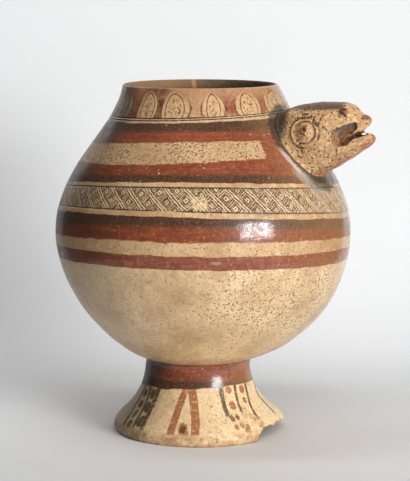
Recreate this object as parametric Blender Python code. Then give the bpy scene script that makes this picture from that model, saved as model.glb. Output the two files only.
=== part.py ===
"""Footed pottery vase with an animal head on its shoulder, in metres, +Z up.

One piece of fired clay: a round hollow body open at the rim, on a hollow flared
foot open below, with a solid modelled head pressed onto the right shoulder. The
front is -Y. A piece of the foot's lip is broken away at the front right.
"""

import math

import bmesh
import bpy
import numpy as np
from mathutils import Vector

# Driving sizes, in millimetres.
FOOT_HEIGHT = 56.3  # from the standing surface to the crease under the body
BODY_HEIGHT = 208.7  # from the crease to the rim
FOOT_RADIUS, STEM_RADIUS = 66.4, 40.1
BELLY_RADIUS, COLLAR_RADIUS = 112.2, 59.8
WALL_LOW, WALL_HIGH = 7.4, 5.4  # the body's wall, just above the crease and at the rim
FOOT_WALL, FOOT_LIP_WALL = 7.4, 14.0
LIP_WALL = 6.3
FLOOR_THICKNESS, FLOOR_DROP = 9.1, 0.9  # the drop is from the crease to its underside

# The lip of the foot: (height, how far inside the foot's radius), then the ring
# that it stands on.
FOOT_LIP = ((1.3, 1.0), (4.2, 0.0), (8.5, 1.4))
FOOT_CONTACT_OUT, FOOT_CONTACT_WIDTH = 2.7, 9.2

# Steps up the vase run from 0 at the ground to 1 at the crease and 2 at the rim.
FOOT_FLARE = (
    # step, radius as a share of the way from the stem's to the foot's
    (0.240, 0.787), (0.346, 0.536), (0.489, 0.281), (0.666, 0.099),
    (0.844, 0.011), (0.933, 0.0), (1.0, 0.019),
)
BODY_LOW = (
    # step, share of the belly's radius
    (1.0177, 0.4483), (1.0537, 0.5713), (1.1112, 0.7014), (1.1878, 0.8271),
    (1.2837, 0.9269), (1.3771, 0.9822), (1.4586, 1.0), (1.5424, 0.9866),
)
SHOULDER = (
    # step, radius as a share of the way from the collar's to the belly's
    (1.6287, 0.855), (1.7149, 0.6698), (1.8012, 0.4237), (1.8874, 0.1832),
    (1.9521, 0.0534), (1.9832, 0.0),
)
RIM_LIP = (
    # drop from the rim's top, share of the lip's wall inward from the collar
    (0.7, 0.19), (0.0, 0.44), (0.0, 0.73), (0.6, 0.89), (2.2, 0.97), (6.0, 1.0),
)
INSIDE_FROM, INSIDE_TO = 1.047, 1.947  # steps between which the wall is gauged

# The foot is hollow, and closes in a low dome under the body's floor.
FOOT_INSIDE_STEPS = (0.071, 0.16, 0.24, 0.346, 0.489, 0.666, 0.835)
LIP_WALL_FADE = 0.666, 1.6  # the step where the lip's extra wall ends, and its curve
FOOT_DOME = ((3.4, 0.86), (0.9, 0.48))  # drop from the dome's top, share of its radius

# The potter's hand: the axis wanders sideways, and the rim dips to the front.
AXIS_DRIFT = (
    # step, sideways shift
    (0.0, -2.7), (0.178, -2.2), (0.302, -2.6), (0.48, -3.8), (0.888, -4.2),
    (1.008, -3.0), (1.056, 0.0), (1.137, 1.1), (1.233, 1.2), (1.353, 0.4), (1.449, 0.0),
    (1.689, 0.0), (1.952, -0.6), (2.0, -2.1),
)
RIM_DIP_DEG = 2.6
RIM_DIP_FROM, RIM_DIP_FULL = 1.7125, 1.9856
AROUND = 58

# The head's own frame starts at its eyes' centre: forward along the head's azimuth,
# across to its right, and up.
HEAD_AZIMUTH_DEG = 62.0
HEAD_OUT = 0.84 * BELLY_RADIUS
HEAD_STEP = 1.837
HEAD_STATIONS = (
    # forward, crown, throat, half width, squareness
    (-36.3, 7.0, -45.0, 19.0, 2.2),
    (-23.3, 15.4, -41.8, 21.5, 2.3),
    (-15.3, 18.2, -39.0, 22.8, 2.4),
    (-6.3, 20.4, -36.6, 23.4, 2.5),
    (2.7, 21.4, -32.9, 23.0, 2.6),
    (11.7, 21.6, -27.8, 21.4, 2.6),
    (19.7, 21.4, -23.3, 19.0, 2.6),
    (25.3, 20.9, -20.1, 16.8, 2.5),
    (29.1, 19.5, -17.7, 14.9, 2.4),
    (32.3, 16.3, -15.6, 13.2, 2.3),
    (35.1, 13.4, -13.7, 11.7, 2.2),
    (37.9, 12.9, -12.0, 10.4, 2.2),
    (40.7, 11.3, -10.2, 8.8, 2.1),
    (43.1, 8.4, -8.4, 6.8, 2.0),
    (45.3, 3.8, -6.0, 4.0, 2.0),
)
HEAD_AROUND = 26
UNDERCUT = 0.16  # how much narrower the head is along its throat
HEAD_ROOT_FROM = 1.5  # the step above which the head is kept out of the vase's wall
JAW_SLIT = (
    # side outline of the narrow slit between the lips: forward, up
    (30.5, -4.4), (36.7, -1.8), (43.7, 0.2), (43.7, 2.2), (36.7, 0.2), (30.5, -2.5),
)
JAW_GAPE = (
    # side outline of the open front of the mouth: lower lip, then beak
    (35.3, 0.8), (39.7, -0.1), (42.1, -0.3), (44.7, -1.6), (46.7, -3.6), (55.7, -5.0),
    (55.7, 15.0), (44.1, 15.0), (43.7, 9.8), (42.1, 6.4), (38.3, 4.2),
)
GAPE_SKEW = 0.53  # forward per millimetre across
EYE_RADIUS, EYE_STAND, EYE_SUNK = 7.4, 2.6, 3.4
SOCKET_RADIUS, SOCKET_BEAD, SOCKET_SUNK = 9.6, 1.35, 0.3
SOCKET_AROUND, BEAD_AROUND = 22, 6
MOUTH_OUTLINE = (
    # side outline of the hollow in each cheek: forward, up
    (20.0, 0.9), (26.9, 5.7), (33.1, 8.0), (34.7, 4.2),
    (32.1, -0.6), (29.9, -4.0), (22.9, -10.0), (20.3, -7.0),
)
MOUTH_DEPTH, MOUTH_TAPER = 8.5, 0.82
CUT_REACH = 30.0  # how far the mouth's cuts run out past the head's sides

# The missing piece of the foot's lip, by azimuth from the front toward +X.
CHIP = (
    # azimuth, height of the broken edge
    (39.5, -3.0), (41.5, 4.4), (44.0, 6.4), (48.0, 9.4), (54.0, 10.0), (60.0, 9.6),
    (67.0, 10.8), (74.0, 9.8), (81.0, 8.2), (89.0, 7.0), (97.0, 5.6), (104.0, 3.4),
    (108.0, -3.0),
)
CHIP_INNER_DROP, CHIP_RAGGED = 2.6, 0.5
CHIP_BELOW, CHIP_PAST = 8.0, 18.0

CLAY_COLOUR = (0.56, 0.40, 0.23, 1.0)


def smooth_curve(points, per_span):
    """A curve through the points by Catmull-Rom spans, the ends kept."""
    points = [Vector(p) for p in points]
    ends = [2 * points[0] - points[1]] + points + [2 * points[-1] - points[-2]]
    found = []
    for a, b, c, d in zip(ends, ends[1:], ends[2:], ends[3:]):
        for k in range(per_span):
            t = k / per_span
            found.append(
                0.5 * (
                    2 * b + (c - a) * t + (2 * a - 5 * b + 4 * c - d) * t * t
                    + (3 * b - a - 3 * c + d) * t ** 3
                )
            )
    return found + [points[-1]]


def height_of(step):
    return FOOT_HEIGHT * min(step, 1.0) + BODY_HEIGHT * max(step - 1.0, 0.0)


def step_of(height):
    if height < FOOT_HEIGHT:
        return height / FOOT_HEIGHT
    return 1.0 + (height - FOOT_HEIGHT) / BODY_HEIGHT


def foot_curve():
    """(height, radius) up the outside of the foot, from the ring it stands on."""
    spread = FOOT_RADIUS - STEM_RADIUS
    return (
        [(0.0, FOOT_RADIUS - FOOT_CONTACT_OUT)]
        + [(height, FOOT_RADIUS - inset) for height, inset in FOOT_LIP]
        + [(height_of(step), STEM_RADIUS + spread * share) for step, share in FOOT_FLARE]
    )


def body_curve():
    """(height, radius) up the outside of the body, smoothed."""
    spread = BELLY_RADIUS - COLLAR_RADIUS
    return smooth_curve(
        [foot_curve()[-1]]
        + [(height_of(step), BELLY_RADIUS * share) for step, share in BODY_LOW]
        + [(height_of(step), COLLAR_RADIUS + spread * share) for step, share in SHOULDER],
        2,
    )


def inside_curve(body):
    """(height, radius) down the inside of the body, a wall's thickness in."""
    places = []
    for before, here, after in list(zip(body, body[1:], body[2:]))[::2]:
        along = (after - before).normalized()
        inward = Vector((along.y, -along.x))
        wall = WALL_LOW + (WALL_HIGH - WALL_LOW) * (step_of(here.x) - 1.0)
        place = here + inward * wall
        if height_of(INSIDE_FROM) < place.x < height_of(INSIDE_TO):
            places.append(place)
    floor = FOOT_HEIGHT - FLOOR_DROP + FLOOR_THICKNESS
    bowl = (places[0], (floor + 0.6, places[0].y * 0.55), (floor, 0.0))
    return list(reversed(places)) + smooth_curve(bowl, 2)[1:]


def foot_inside_curve(outside):
    """(height, radius) up the inside of the foot to the middle of its dome."""
    heights, radii = zip(*outside)
    fade_to, power = LIP_WALL_FADE
    places = [(0.0, outside[0][1] - FOOT_CONTACT_WIDTH)]
    for step in FOOT_INSIDE_STEPS:
        extra = (FOOT_LIP_WALL - FOOT_WALL) * max(1.0 - step / fade_to, 0.0) ** power
        reach = float(np.interp(height_of(step), heights, radii))
        places.append((height_of(step), reach - FOOT_WALL - extra))
    top, reach = FOOT_HEIGHT - FLOOR_DROP, places[-1][1]
    places += [(top - drop, reach * share) for drop, share in FOOT_DOME]
    return [Vector(place) for place in places + [(top, 0.0)]]


def vessel_profile():
    """(height, radius) round the whole section, from under the floor to its top."""
    foot = foot_curve()
    body = body_curve()
    rim = [
        Vector((height_of(2.0) - drop, COLLAR_RADIUS - LIP_WALL * share))
        for drop, share in RIM_LIP
    ]
    return (
        list(reversed(foot_inside_curve(foot))) + [Vector(p) for p in foot[:-1]]
        + body + rim + inside_curve(body)
    )


def drift_at(height):
    steps, shifts = zip(*AXIS_DRIFT)
    return float(np.interp(step_of(height), steps, shifts))


def lean(place):
    """Moves a point of the true turned form to where the potter's form has it."""
    x, y, z = place
    share = (step_of(z) - RIM_DIP_FROM) / (RIM_DIP_FULL - RIM_DIP_FROM)
    share = min(max(share, 0.0), 1.0)
    share = share * share * (3 - 2 * share)
    return Vector((x + drift_at(z), y, z + share * y * math.tan(math.radians(RIM_DIP_DEG))))


def new_object(name, bm):
    bmesh.ops.recalc_face_normals(bm, faces=bm.faces)
    mesh = bpy.data.meshes.new(name)
    bm.to_mesh(mesh)
    bm.free()
    made = bpy.data.objects.new(name, mesh)
    bpy.context.scene.collection.objects.link(made)
    return made


def turned(name, profile):
    """The form that this (height, radius) section makes on the wheel, then leaned."""
    bm = bmesh.new()
    points = [bm.verts.new((radius, 0.0, height)) for height, radius in profile]
    edges = [bm.edges.new(pair) for pair in zip(points, points[1:])]
    bmesh.ops.spin(
        bm, geom=points + edges, cent=(0, 0, 0), axis=(0, 0, 1),
        angle=math.tau, steps=AROUND, use_merge=True,
    )
    bmesh.ops.remove_doubles(bm, verts=bm.verts, dist=0.001)
    for vert in bm.verts:
        vert.co = lean(vert.co)
    return new_object(name, bm)


def inside_of_wall():
    """The space within the middle of the shoulder's wall, where the head stops."""
    wall = [p for p in body_curve() if p.x > height_of(HEAD_ROOT_FROM)]
    skin = [(p.x, p.y - WALL_HIGH / 2) for p in wall]
    return turned("inside", [(skin[0][0], 0.0), *skin, (skin[-1][0], 0.0)])


def head_to_world(forward, across, up):
    """From the head's frame to the vase's."""
    angle = math.radians(HEAD_AZIMUTH_DEG)
    out = HEAD_OUT + forward
    return Vector((
        out * math.sin(angle) - across * math.cos(angle),
        -out * math.cos(angle) - across * math.sin(angle),
        height_of(HEAD_STEP) + up,
    ))


def lofted(name, stations, around):
    """A closed form through upright rounded sections at the stations."""
    bm = bmesh.new()
    rings = []
    for forward, crown, throat, half_width, square in stations:
        ring = []
        for k in range(around):
            turn = math.tau * k / around
            c, s = math.cos(turn), math.sin(turn)
            across = half_width * math.copysign(abs(c) ** (2 / square), c)
            rise = math.copysign(abs(s) ** (2 / square), s)
            across *= 1.0 - UNDERCUT * max(-rise, 0.0) ** 2
            middle, half = (crown + throat) / 2, (crown - throat) / 2
            up = middle + half * rise
            ring.append(bm.verts.new(head_to_world(forward, across, up)))
        rings.append(ring)
    for one, two in zip(rings, rings[1:]):
        for k in range(around):
            m = (k + 1) % around
            bm.faces.new((one[k], one[m], two[m], two[k]))
    bm.faces.new(rings[0])
    bm.faces.new(rings[-1])
    return new_object(name, bm)


def ball(name, centre, radii, rings=8, around=16):
    bm = bmesh.new()
    bmesh.ops.create_uvsphere(bm, u_segments=around, v_segments=rings, radius=1.0)
    for vert in bm.verts:
        x, y, z = vert.co
        vert.co = head_to_world(
            centre[0] + radii[0] * x, centre[1] + radii[1] * y, centre[2] + radii[2] * z
        )
    return new_object(name, bm)


def half_width_at(forward, up):
    """How far the head reaches sideways at this place."""
    places = [station[0] for station in HEAD_STATIONS]
    crown, throat, half_width, square = (
        float(np.interp(forward, places, [station[k] for station in HEAD_STATIONS]))
        for k in (1, 2, 3, 4)
    )
    rise = (up - (crown + throat) / 2) / ((crown - throat) / 2)
    across = half_width * (1.0 - min(abs(rise), 0.999) ** square) ** (1 / square)
    return across * (1.0 - UNDERCUT * max(-rise, 0.0) ** 2)


def eye(side):
    reach = half_width_at(0.0, 0.0) - EYE_SUNK
    radii = (EYE_RADIUS, EYE_STAND + EYE_SUNK, EYE_RADIUS)
    return ball(f"eye_{side}", (0.0, side * reach, 0.0), radii)


def socket(side):
    """The raised bead round the eye, lying on the side of the head."""
    bm = bmesh.new()
    rings = []
    for k in range(SOCKET_AROUND):
        turn = math.tau * k / SOCKET_AROUND
        ring = []
        for j in range(BEAD_AROUND):
            tube = math.tau * j / BEAD_AROUND
            radius = SOCKET_RADIUS + SOCKET_BEAD * math.cos(tube)
            forward = radius * math.cos(turn)
            up = radius * math.sin(turn)
            reach = half_width_at(forward, up) - SOCKET_SUNK + SOCKET_BEAD * math.sin(tube)
            ring.append(bm.verts.new(head_to_world(forward, side * reach, up)))
        rings.append(ring)
    for one, two in zip(rings, rings[1:] + rings[:1]):
        for j in range(BEAD_AROUND):
            m = (j + 1) % BEAD_AROUND
            bm.faces.new((one[j], one[m], two[m], two[j]))
    return new_object(f"socket_{side}", bm)


def prism(name, outline, across_from, across_to, inner_scale=1.0, skew=0.0):
    """A bar of this side outline across the head, narrowing to its inner end."""
    bm = bmesh.new()
    middle = sum((Vector(p) for p in outline), Vector((0, 0))) / len(outline)
    ends = []
    for across, scale in ((across_from, inner_scale), (across_to, 1.0)):
        places = [middle + (Vector(p) - middle) * scale for p in outline]
        shift = skew * across
        ends.append(
            [bm.verts.new(head_to_world(p.x + shift, across, p.y)) for p in places]
        )
    for k in range(len(outline)):
        m = (k + 1) % len(outline)
        bm.faces.new((ends[0][k], ends[0][m], ends[1][m], ends[1][k]))
    bm.faces.new(ends[0])
    bm.faces.new(ends[1])
    return new_object(name, bm)


def cheek_hollow(side):
    """The hollow in one cheek, sunk from the skin by its depth."""
    forward = sum(p[0] for p in MOUTH_OUTLINE) / len(MOUTH_OUTLINE)
    up = sum(p[1] for p in MOUTH_OUTLINE) / len(MOUTH_OUTLINE)
    inner = half_width_at(forward, up) - MOUTH_DEPTH
    ends = side * inner, side * CUT_REACH
    return prism(f"cheek_hollow_{side}", MOUTH_OUTLINE, *ends, MOUTH_TAPER)


def lip_chip():
    """The lost piece: a ragged wedge under the broken edge of the foot's lip."""
    bm = bmesh.new()
    shift = drift_at(0.0)
    stands_to = FOOT_RADIUS - FOOT_CONTACT_OUT
    stands_from = stands_to - FOOT_CONTACT_WIDTH
    beyond, within = FOOT_RADIUS + CHIP_PAST, stands_from - CHIP_PAST
    rings = []
    for k, (azimuth, height) in enumerate(CHIP):
        turn = math.radians(azimuth)
        drop = CHIP_INNER_DROP + CHIP_RAGGED * (k % 2)
        section = (
            (within, -CHIP_BELOW), (beyond, -CHIP_BELOW), (beyond, height + 0.8),
            (stands_to, height), (stands_from, height - drop),
            (within, max(height - 2 * drop, 0.5 - CHIP_BELOW)),
        )
        places = [(shift + r * math.sin(turn), -r * math.cos(turn), z) for r, z in section]
        rings.append([bm.verts.new(place) for place in places])
    for one, two in zip(rings, rings[1:]):
        for j in range(len(one)):
            m = (j + 1) % len(one)
            bm.faces.new((one[j], one[m], two[m], two[j]))
    bm.faces.new(rings[0])
    bm.faces.new(rings[-1])
    return new_object("lip_chip", bm)


def shape(target, tool, operation):
    """Joins the tool to the target, or cuts it out of it, and takes the tool away."""
    modifier = target.modifiers.new(tool.name, "BOOLEAN")
    modifier.operation = operation
    modifier.solver = "EXACT"
    modifier.object = tool
    graph = bpy.context.evaluated_depsgraph_get()
    shaped = bpy.data.meshes.new_from_object(target.evaluated_get(graph))
    target.modifiers.clear()
    target.data = shaped
    bpy.data.objects.remove(tool)


def stand_at_origin(made):
    """Puts the middle of the form's box above the origin, in metres."""
    mesh = made.data
    count = len(mesh.vertices)
    places = np.empty(count * 3, np.float32)
    mesh.vertices.foreach_get("co", places)
    places = places.reshape(-1, 3).astype(np.float64)
    low, high = places.min(axis=0), places.max(axis=0)
    middle = (low + high) / 2
    places -= (middle[0], middle[1], low[2])
    mesh.vertices.foreach_set("co", (places / 1000).astype(np.float32).ravel())
    mesh.update()


def finish(made):
    material = bpy.data.materials.new("slip_painted_earthenware")
    material.use_nodes = True
    shader = material.node_tree.nodes["Principled BSDF"]
    shader.inputs["Base Color"].default_value = CLAY_COLOUR
    shader.inputs["Roughness"].default_value = 0.45
    made.data.materials.clear()
    made.data.materials.append(material)
    made.data.shade_smooth()
    made.data.set_sharp_from_angle(angle=math.radians(40))


def build():
    for old in list(bpy.data.objects):
        bpy.data.objects.remove(old)
    vase = turned("vase", vessel_profile())
    head = lofted("head", HEAD_STATIONS, HEAD_AROUND)
    for side in (1, -1):
        shape(head, cheek_hollow(side), "DIFFERENCE")
    slit = prism("jaw_slit", JAW_SLIT, -CUT_REACH, CUT_REACH)
    shape(head, slit, "DIFFERENCE")
    gape = prism("jaw_gape", JAW_GAPE, -CUT_REACH, CUT_REACH, skew=GAPE_SKEW)
    shape(head, gape, "DIFFERENCE")
    for side in (1, -1):
        shape(head, socket(side), "UNION")
        shape(head, eye(side), "UNION")
    shape(head, inside_of_wall(), "DIFFERENCE")
    shape(vase, head, "UNION")
    shape(vase, lip_chip(), "DIFFERENCE")
    stand_at_origin(vase)
    finish(vase)


build()
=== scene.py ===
"""Looks of a footed pottery vase with an animal head on its shoulder.

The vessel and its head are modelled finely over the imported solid, and finished as
burnished, slip-painted earthenware. The front is -Y, an azimuth runs from there
towards +X, and lengths are millimetres until they are multiplied by MM.
"""

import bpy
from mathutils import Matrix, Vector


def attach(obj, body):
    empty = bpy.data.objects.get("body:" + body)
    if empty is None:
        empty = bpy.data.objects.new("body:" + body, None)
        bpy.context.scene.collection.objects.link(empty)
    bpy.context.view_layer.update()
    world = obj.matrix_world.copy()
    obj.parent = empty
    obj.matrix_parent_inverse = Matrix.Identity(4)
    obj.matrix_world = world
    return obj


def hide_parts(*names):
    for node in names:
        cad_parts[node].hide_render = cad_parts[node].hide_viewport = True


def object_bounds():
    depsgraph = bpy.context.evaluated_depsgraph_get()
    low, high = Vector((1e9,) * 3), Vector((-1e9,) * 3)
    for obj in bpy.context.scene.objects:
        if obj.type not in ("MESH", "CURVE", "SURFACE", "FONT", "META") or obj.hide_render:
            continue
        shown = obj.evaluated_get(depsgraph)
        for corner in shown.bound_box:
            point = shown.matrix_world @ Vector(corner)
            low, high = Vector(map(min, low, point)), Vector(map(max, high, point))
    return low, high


bl_info = {
    "name": "Footed head vase",
    "version": (1, 0, 0),
    "blender": (4, 5, 0),
    "location": "View3D > Sidebar > Vase",
    "description": "A banded pottery vase with a modelled head, and a plain studio",
    "category": "Object",
}

import math

import bpy
import numpy as np
from mathutils import Vector, noise

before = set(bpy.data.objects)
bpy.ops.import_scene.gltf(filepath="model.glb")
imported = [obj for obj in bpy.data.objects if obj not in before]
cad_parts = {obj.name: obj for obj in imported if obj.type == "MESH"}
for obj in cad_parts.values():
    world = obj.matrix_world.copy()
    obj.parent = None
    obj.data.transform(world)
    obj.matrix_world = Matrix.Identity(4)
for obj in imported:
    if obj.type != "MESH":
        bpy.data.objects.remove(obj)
CAD_LOW, CAD_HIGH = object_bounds()

MM = 0.001
BODY_NAME = "root"
NODE = "vase"

# Driving sizes of the vessel, as the solid has them.
FOOT_HEIGHT, BODY_HEIGHT = 56.3, 208.7
FOOT_RADIUS, STEM_RADIUS = 66.4, 40.1
BELLY_RADIUS, COLLAR_RADIUS = 112.2, 59.8
WALL_LOW, WALL_HIGH = 7.4, 5.4
FOOT_WALL, FOOT_LIP_WALL = 7.4, 14.0
LIP_WALL = 6.3
FLOOR_THICKNESS, FLOOR_DROP = 9.1, 0.9
FLOOR_BOWL = 0.6, 0.55  # rise of the floor, at this share of the lowest inside radius
FOOT_LIP = ((1.3, 1.0), (4.2, 0.0), (8.5, 1.4))  # height, inset
FOOT_CONTACT_OUT, FOOT_CONTACT_WIDTH = 2.7, 9.2
AXIS_X = CAD_LOW.x / MM + BELLY_RADIUS

# Steps run from 0 at the ground to 1 at the crease under the body and 2 at the rim.
FOOT_FLARE = (
    # step, radius as a share of the way from the stem's to the foot's
    (0.240, 0.787), (0.346, 0.536), (0.489, 0.281), (0.666, 0.099),
    (0.844, 0.011), (0.933, 0.0), (1.0, 0.019),
)
BODY_LOW = (
    # step, share of the belly's radius
    (1.0177, 0.4483), (1.0537, 0.5713), (1.1112, 0.7014), (1.1878, 0.8271),
    (1.2837, 0.9269), (1.3771, 0.9822), (1.4586, 1.0), (1.5424, 0.9866),
)
SHOULDER = (
    # step, radius as a share of the way from the collar's to the belly's
    (1.6287, 0.855), (1.7149, 0.6698), (1.8012, 0.4237), (1.8874, 0.1832),
    (1.9521, 0.0534), (1.9832, 0.0),
)
RIM_LIP = (
    # drop from the rim's top, share of the lip's wall inward from the collar
    (0.7, 0.19), (0.0, 0.44), (0.0, 0.73), (0.6, 0.89), (2.2, 0.97), (6.0, 1.0),
)
INSIDE_FROM, INSIDE_TO = 1.047, 1.947
FOOT_INSIDE_STEPS = (0.071, 0.16, 0.24, 0.346, 0.489, 0.666, 0.835)
LIP_WALL_FADE = 0.666, 1.6  # the lip's extra wall is gone by this step, by this power
FOOT_DOME = ((3.4, 0.86), (0.9, 0.48))  # drop, share of the reach under the floor
AXIS_DRIFT = (
    # step, sideways shift
    (0.0, -2.7), (0.178, -2.2), (0.302, -2.6), (0.48, -3.8), (0.888, -4.2),
    (1.008, -3.0), (1.056, 0.0), (1.137, 1.1), (1.233, 1.2), (1.353, 0.4), (1.449, 0.0),
    (1.689, 0.0), (1.952, -0.6), (2.0, -2.1),
)
HAND_SWELLS = ((0.7, 34, 1.3), (0.3, 11, 4.1))  # height, size and seed of the swells
SWELL_RADIUS = 60  # the swells are read off a drum as wide as this, all the way up
STILL_HEIGHT, STILL_RADIUS = 6, 20  # they fade out towards the ground and the axis
SKIN, BURIED = 0.3, 2.6  # how far inside the outer form a point still counts as on it
ROW_GAP_MIN, LIP_GAP = 0.12, 0.8  # between rows, and along the rounded lip
RIM_DIP = math.tan(math.radians(2.6))  # the rim leans down to the front by 2.6 degrees
RIM_DIP_FROM, RIM_DIP_FULL = 1.7125, 1.9856

# The head's frame starts between its eyes: forward, across to its right, and up.
HEAD_AZIMUTH_DEG = 62.0
HEAD_OUT = 0.84 * BELLY_RADIUS  # from the axis to between the eyes
HEAD_STEP = 1.837
HEAD_STATIONS = (
    # forward, crown, throat, half width, squareness
    (-36.3, 7.0, -45.0, 19.0, 2.2),
    (-23.3, 15.4, -41.8, 21.5, 2.3),
    (-15.3, 18.2, -39.0, 22.8, 2.4),
    (-6.3, 20.4, -36.6, 23.4, 2.5),
    (2.7, 21.4, -32.9, 23.0, 2.6),
    (11.7, 21.6, -27.8, 21.4, 2.6),
    (19.7, 21.4, -23.3, 19.0, 2.6),
    (25.3, 20.9, -20.1, 16.8, 2.5),
    (29.1, 19.5, -17.7, 14.9, 2.4),
    (32.3, 16.3, -15.6, 13.2, 2.3),
    (35.1, 13.4, -13.7, 11.7, 2.2),
    (37.9, 12.9, -12.0, 10.4, 2.2),
    (40.7, 11.3, -10.2, 8.8, 2.1),
    (43.1, 8.4, -8.4, 6.8, 2.0),
    (45.3, 3.8, -6.0, 4.0, 2.0),
)
UNDERCUT = 0.16
HEAD_ROOT_FROM = 1.5  # the step that the form inside the wall starts at
WALL_ROWS, WALL_AROUND = 60, 128  # of the form that ends the head within the wall
HEAD_ROOT = -12.0, 29.0, 29.5  # middle, half width and half height of the smeared clay
JAW_SLIT = (
    (30.5, -4.9), (36.7, -2.3), (43.7, -0.2), (43.7, 2.8), (36.7, 0.9), (30.5, -2.0),
)
JAW_GAPE = (
    (35.3, 0.8), (39.7, -0.1), (42.1, -0.3), (44.7, -1.6), (46.7, -3.6), (55.7, -5.0),
    (55.7, 15.0), (44.1, 15.0), (43.7, 9.8), (42.1, 6.4), (38.3, 4.2),
)
GAPE_SKEW = 0.53  # the gap between the bill's tips runs aslant
EYE_RADIUS, EYE_STAND, EYE_SUNK = 7.4, 2.6, 3.4
SOCKET_RADIUS, SOCKET_BEAD, SOCKET_SUNK = 9.6, 1.35, 0.3
MOUTH_OUTLINE = (
    (18.6, 0.7), (26.7, 5.4), (34.6, 8.1), (36.2, 4.3), (33.4, 0.2),
    (32.2, -4.2), (28.8, -9.4), (21.2, -10.4), (19.2, -6.8),
)
MOUTH_DEPTH, MOUTH_TAPER = 7.6, 0.92
MOUTH_PRESS, MOUTH_SOFT = 1.2, 0.9
HEAD_LUMPS = ((0.45, 8.0, 5.5), (0.2, 2.6, 8.8))  # height, size and seed
SMEAR_FADE = 2.2
CUT_REACH = 30.0
# Marks on the head's clay, in its frame.
NOSTRIL, BILL_SPOT, PUPIL = ((25.6, 14.8), 3.2), ((39.6, 11.6), 3.4), ((0.0, 2.2), 2.6)
EYE_LINES = (11.2, 0.6), (7.9, 0.5)  # radius, half width of the lines round the eye
CROWN_FROM, CROWN_SPAN = 16.2, (-8.0, 32.0)  # height; middle and half length
TIPS_FROM = 36.0
# Smoke and painted shade on the head's rear, where it meets the shoulder: forward span, and the
# rise over which it grows
ROOT_SOOT_AND_SHADE, ROOT_SOOT_AND_SHADE_RISE = (-20.0, -12.5), (-22.0, -8.0)
CHEEK_SPAN = 27.0, 9.0
# Slanting lines: their slope, and their height where they cross the eye's upright.
THROAT_SLOPE, THROAT_FADE = -0.57, (-33.0, -28.0)
ROOF_SLOPE, ROOF_AT = -0.42, -9.2
SLIT_SLOPE, SLIT_AT, SLIT_SPAN = -0.357, (-14.6, 1.9), (30.2, 43.0)
FACE_STROKES = (
    # half width, depth, (forward, up) along the stroke
    (1.7, 0.9, ((0.3, 2.4), (0.3, 2.6))),
    (0.8, 0.6, ((-3.4, 12.7), (1.0, 13.2))),
    (0.8, 0.6, ((-3.2, 9.9), (0.4, 10.6), (3.8, 11.3))),
    (0.8, 0.8, ((6.2, 10.2), (6.2, 6.8))),
    (0.5, 0.3, ((-2.1, 19.4), (3.8, 14.2), (6.2, 9.9))),
    (0.9, 0.5, ((9.5, 7.0), (10.3, 5.4))),
    (1.2, 0.9, ((25.3, 17.0), (26.2, 16.6))),
    (0.9, 0.8, ((23.6, 15.2), (26.0, 14.2), (28.3, 11.6))),
    (1.7, 1.3, ((31.4, -3.9), (36.5, -1.5), (42.8, 0.9))),
)

CHIP = (
    # azimuth, height of the foot's broken edge
    (39.5, -3.0), (41.5, 4.4), (44.0, 6.4), (48.0, 9.4), (54.0, 10.0), (60.0, 9.6),
    (67.0, 10.8), (74.0, 9.8), (81.0, 8.2), (89.0, 7.0), (97.0, 5.6), (104.0, 3.4),
    (108.0, -3.0),
)
CHIP_INNER_DROP = 2.6
CHIP_BELOW, CHIP_PAST = 8.0, 18.0
CHIP_CUTS = 47
CHIP_GRAIN = ((0.9, 5.5, 2.2), (0.5, 1.9, 7.7))  # height, size and seed of the lumps

# Where each painted edge runs: its height, then how much higher it is at the front
# and at the right, because the bands were drawn by eye on the turning vase.
PAINT_EDGES = {
    "stem_black_low": (36.7, 2.3, 2.2),
    "stem_black_top": (39.9, 5.0, -2.0),
    "stripe_low": (134.1, 3.8, -1.2),
    "stripe_top": (144.5, 2.8, -1.0),
    "low_red_low": (151.9, 4.8, -0.7),
    "low_black_low": (156.8, 11.9, -2.1),
    "low_black_top": (167.2, 6.8, -2.8),
    "lattice_low": (171.1, 7.1, -2.5),
    "lattice_top": (187.5, 6.8, -0.8),
    "high_black_low": (190.6, 7.2, -0.8),
    "high_black_top": (196.7, 6.4, 0.0),
    "panel_low": (212.9, -2.2, 4.9),
    "panel_top": (221.7, 3.9, 1.3),
    "collar_black_low": (229.7, 2.8, 0.3),
    "collar_black_top": (240.1, -1.7, 2.5),
    "collar_line": (242.6, -2.3, 3.1),
}
EDGE = {name: heights[0] for name, heights in PAINT_EDGES.items()}
EDGE["crease"] = FOOT_HEIGHT + 0.4
BANDS = (
    # slip, lower edge, upper edge, how soft the lower and the upper edge are
    ("black", "stem_black_low", "stem_black_top", 0.3, 0.9),
    ("red", "stem_black_low", "crease", 0.4, 0.5),
    ("red", "stripe_low", "stripe_top", 0.4, 0.4),
    ("red", "low_red_low", "low_black_top", 0.4, 0.4),
    ("black", "low_black_low", "low_black_top", 2.0, 0.4),
    ("black", "high_black_low", "high_black_top", 0.4, 1.8),
    ("red", "high_black_low", "collar_black_top", 0.4, 0.5),
    ("black", "collar_black_low", "collar_black_top", 1.8, 0.5),
)
BACK_SHARE = 0.25  # how much of the front's rise shows as a dip at the back
RIM_FROM = 261.5  # the painted outside ends here, under the rounded lip
COLLAR_LINE_GAP = 1.6  # between the two lines cut under the collar
COLLAR_FROM = EDGE["collar_line"] + COLLAR_LINE_GAP
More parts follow.
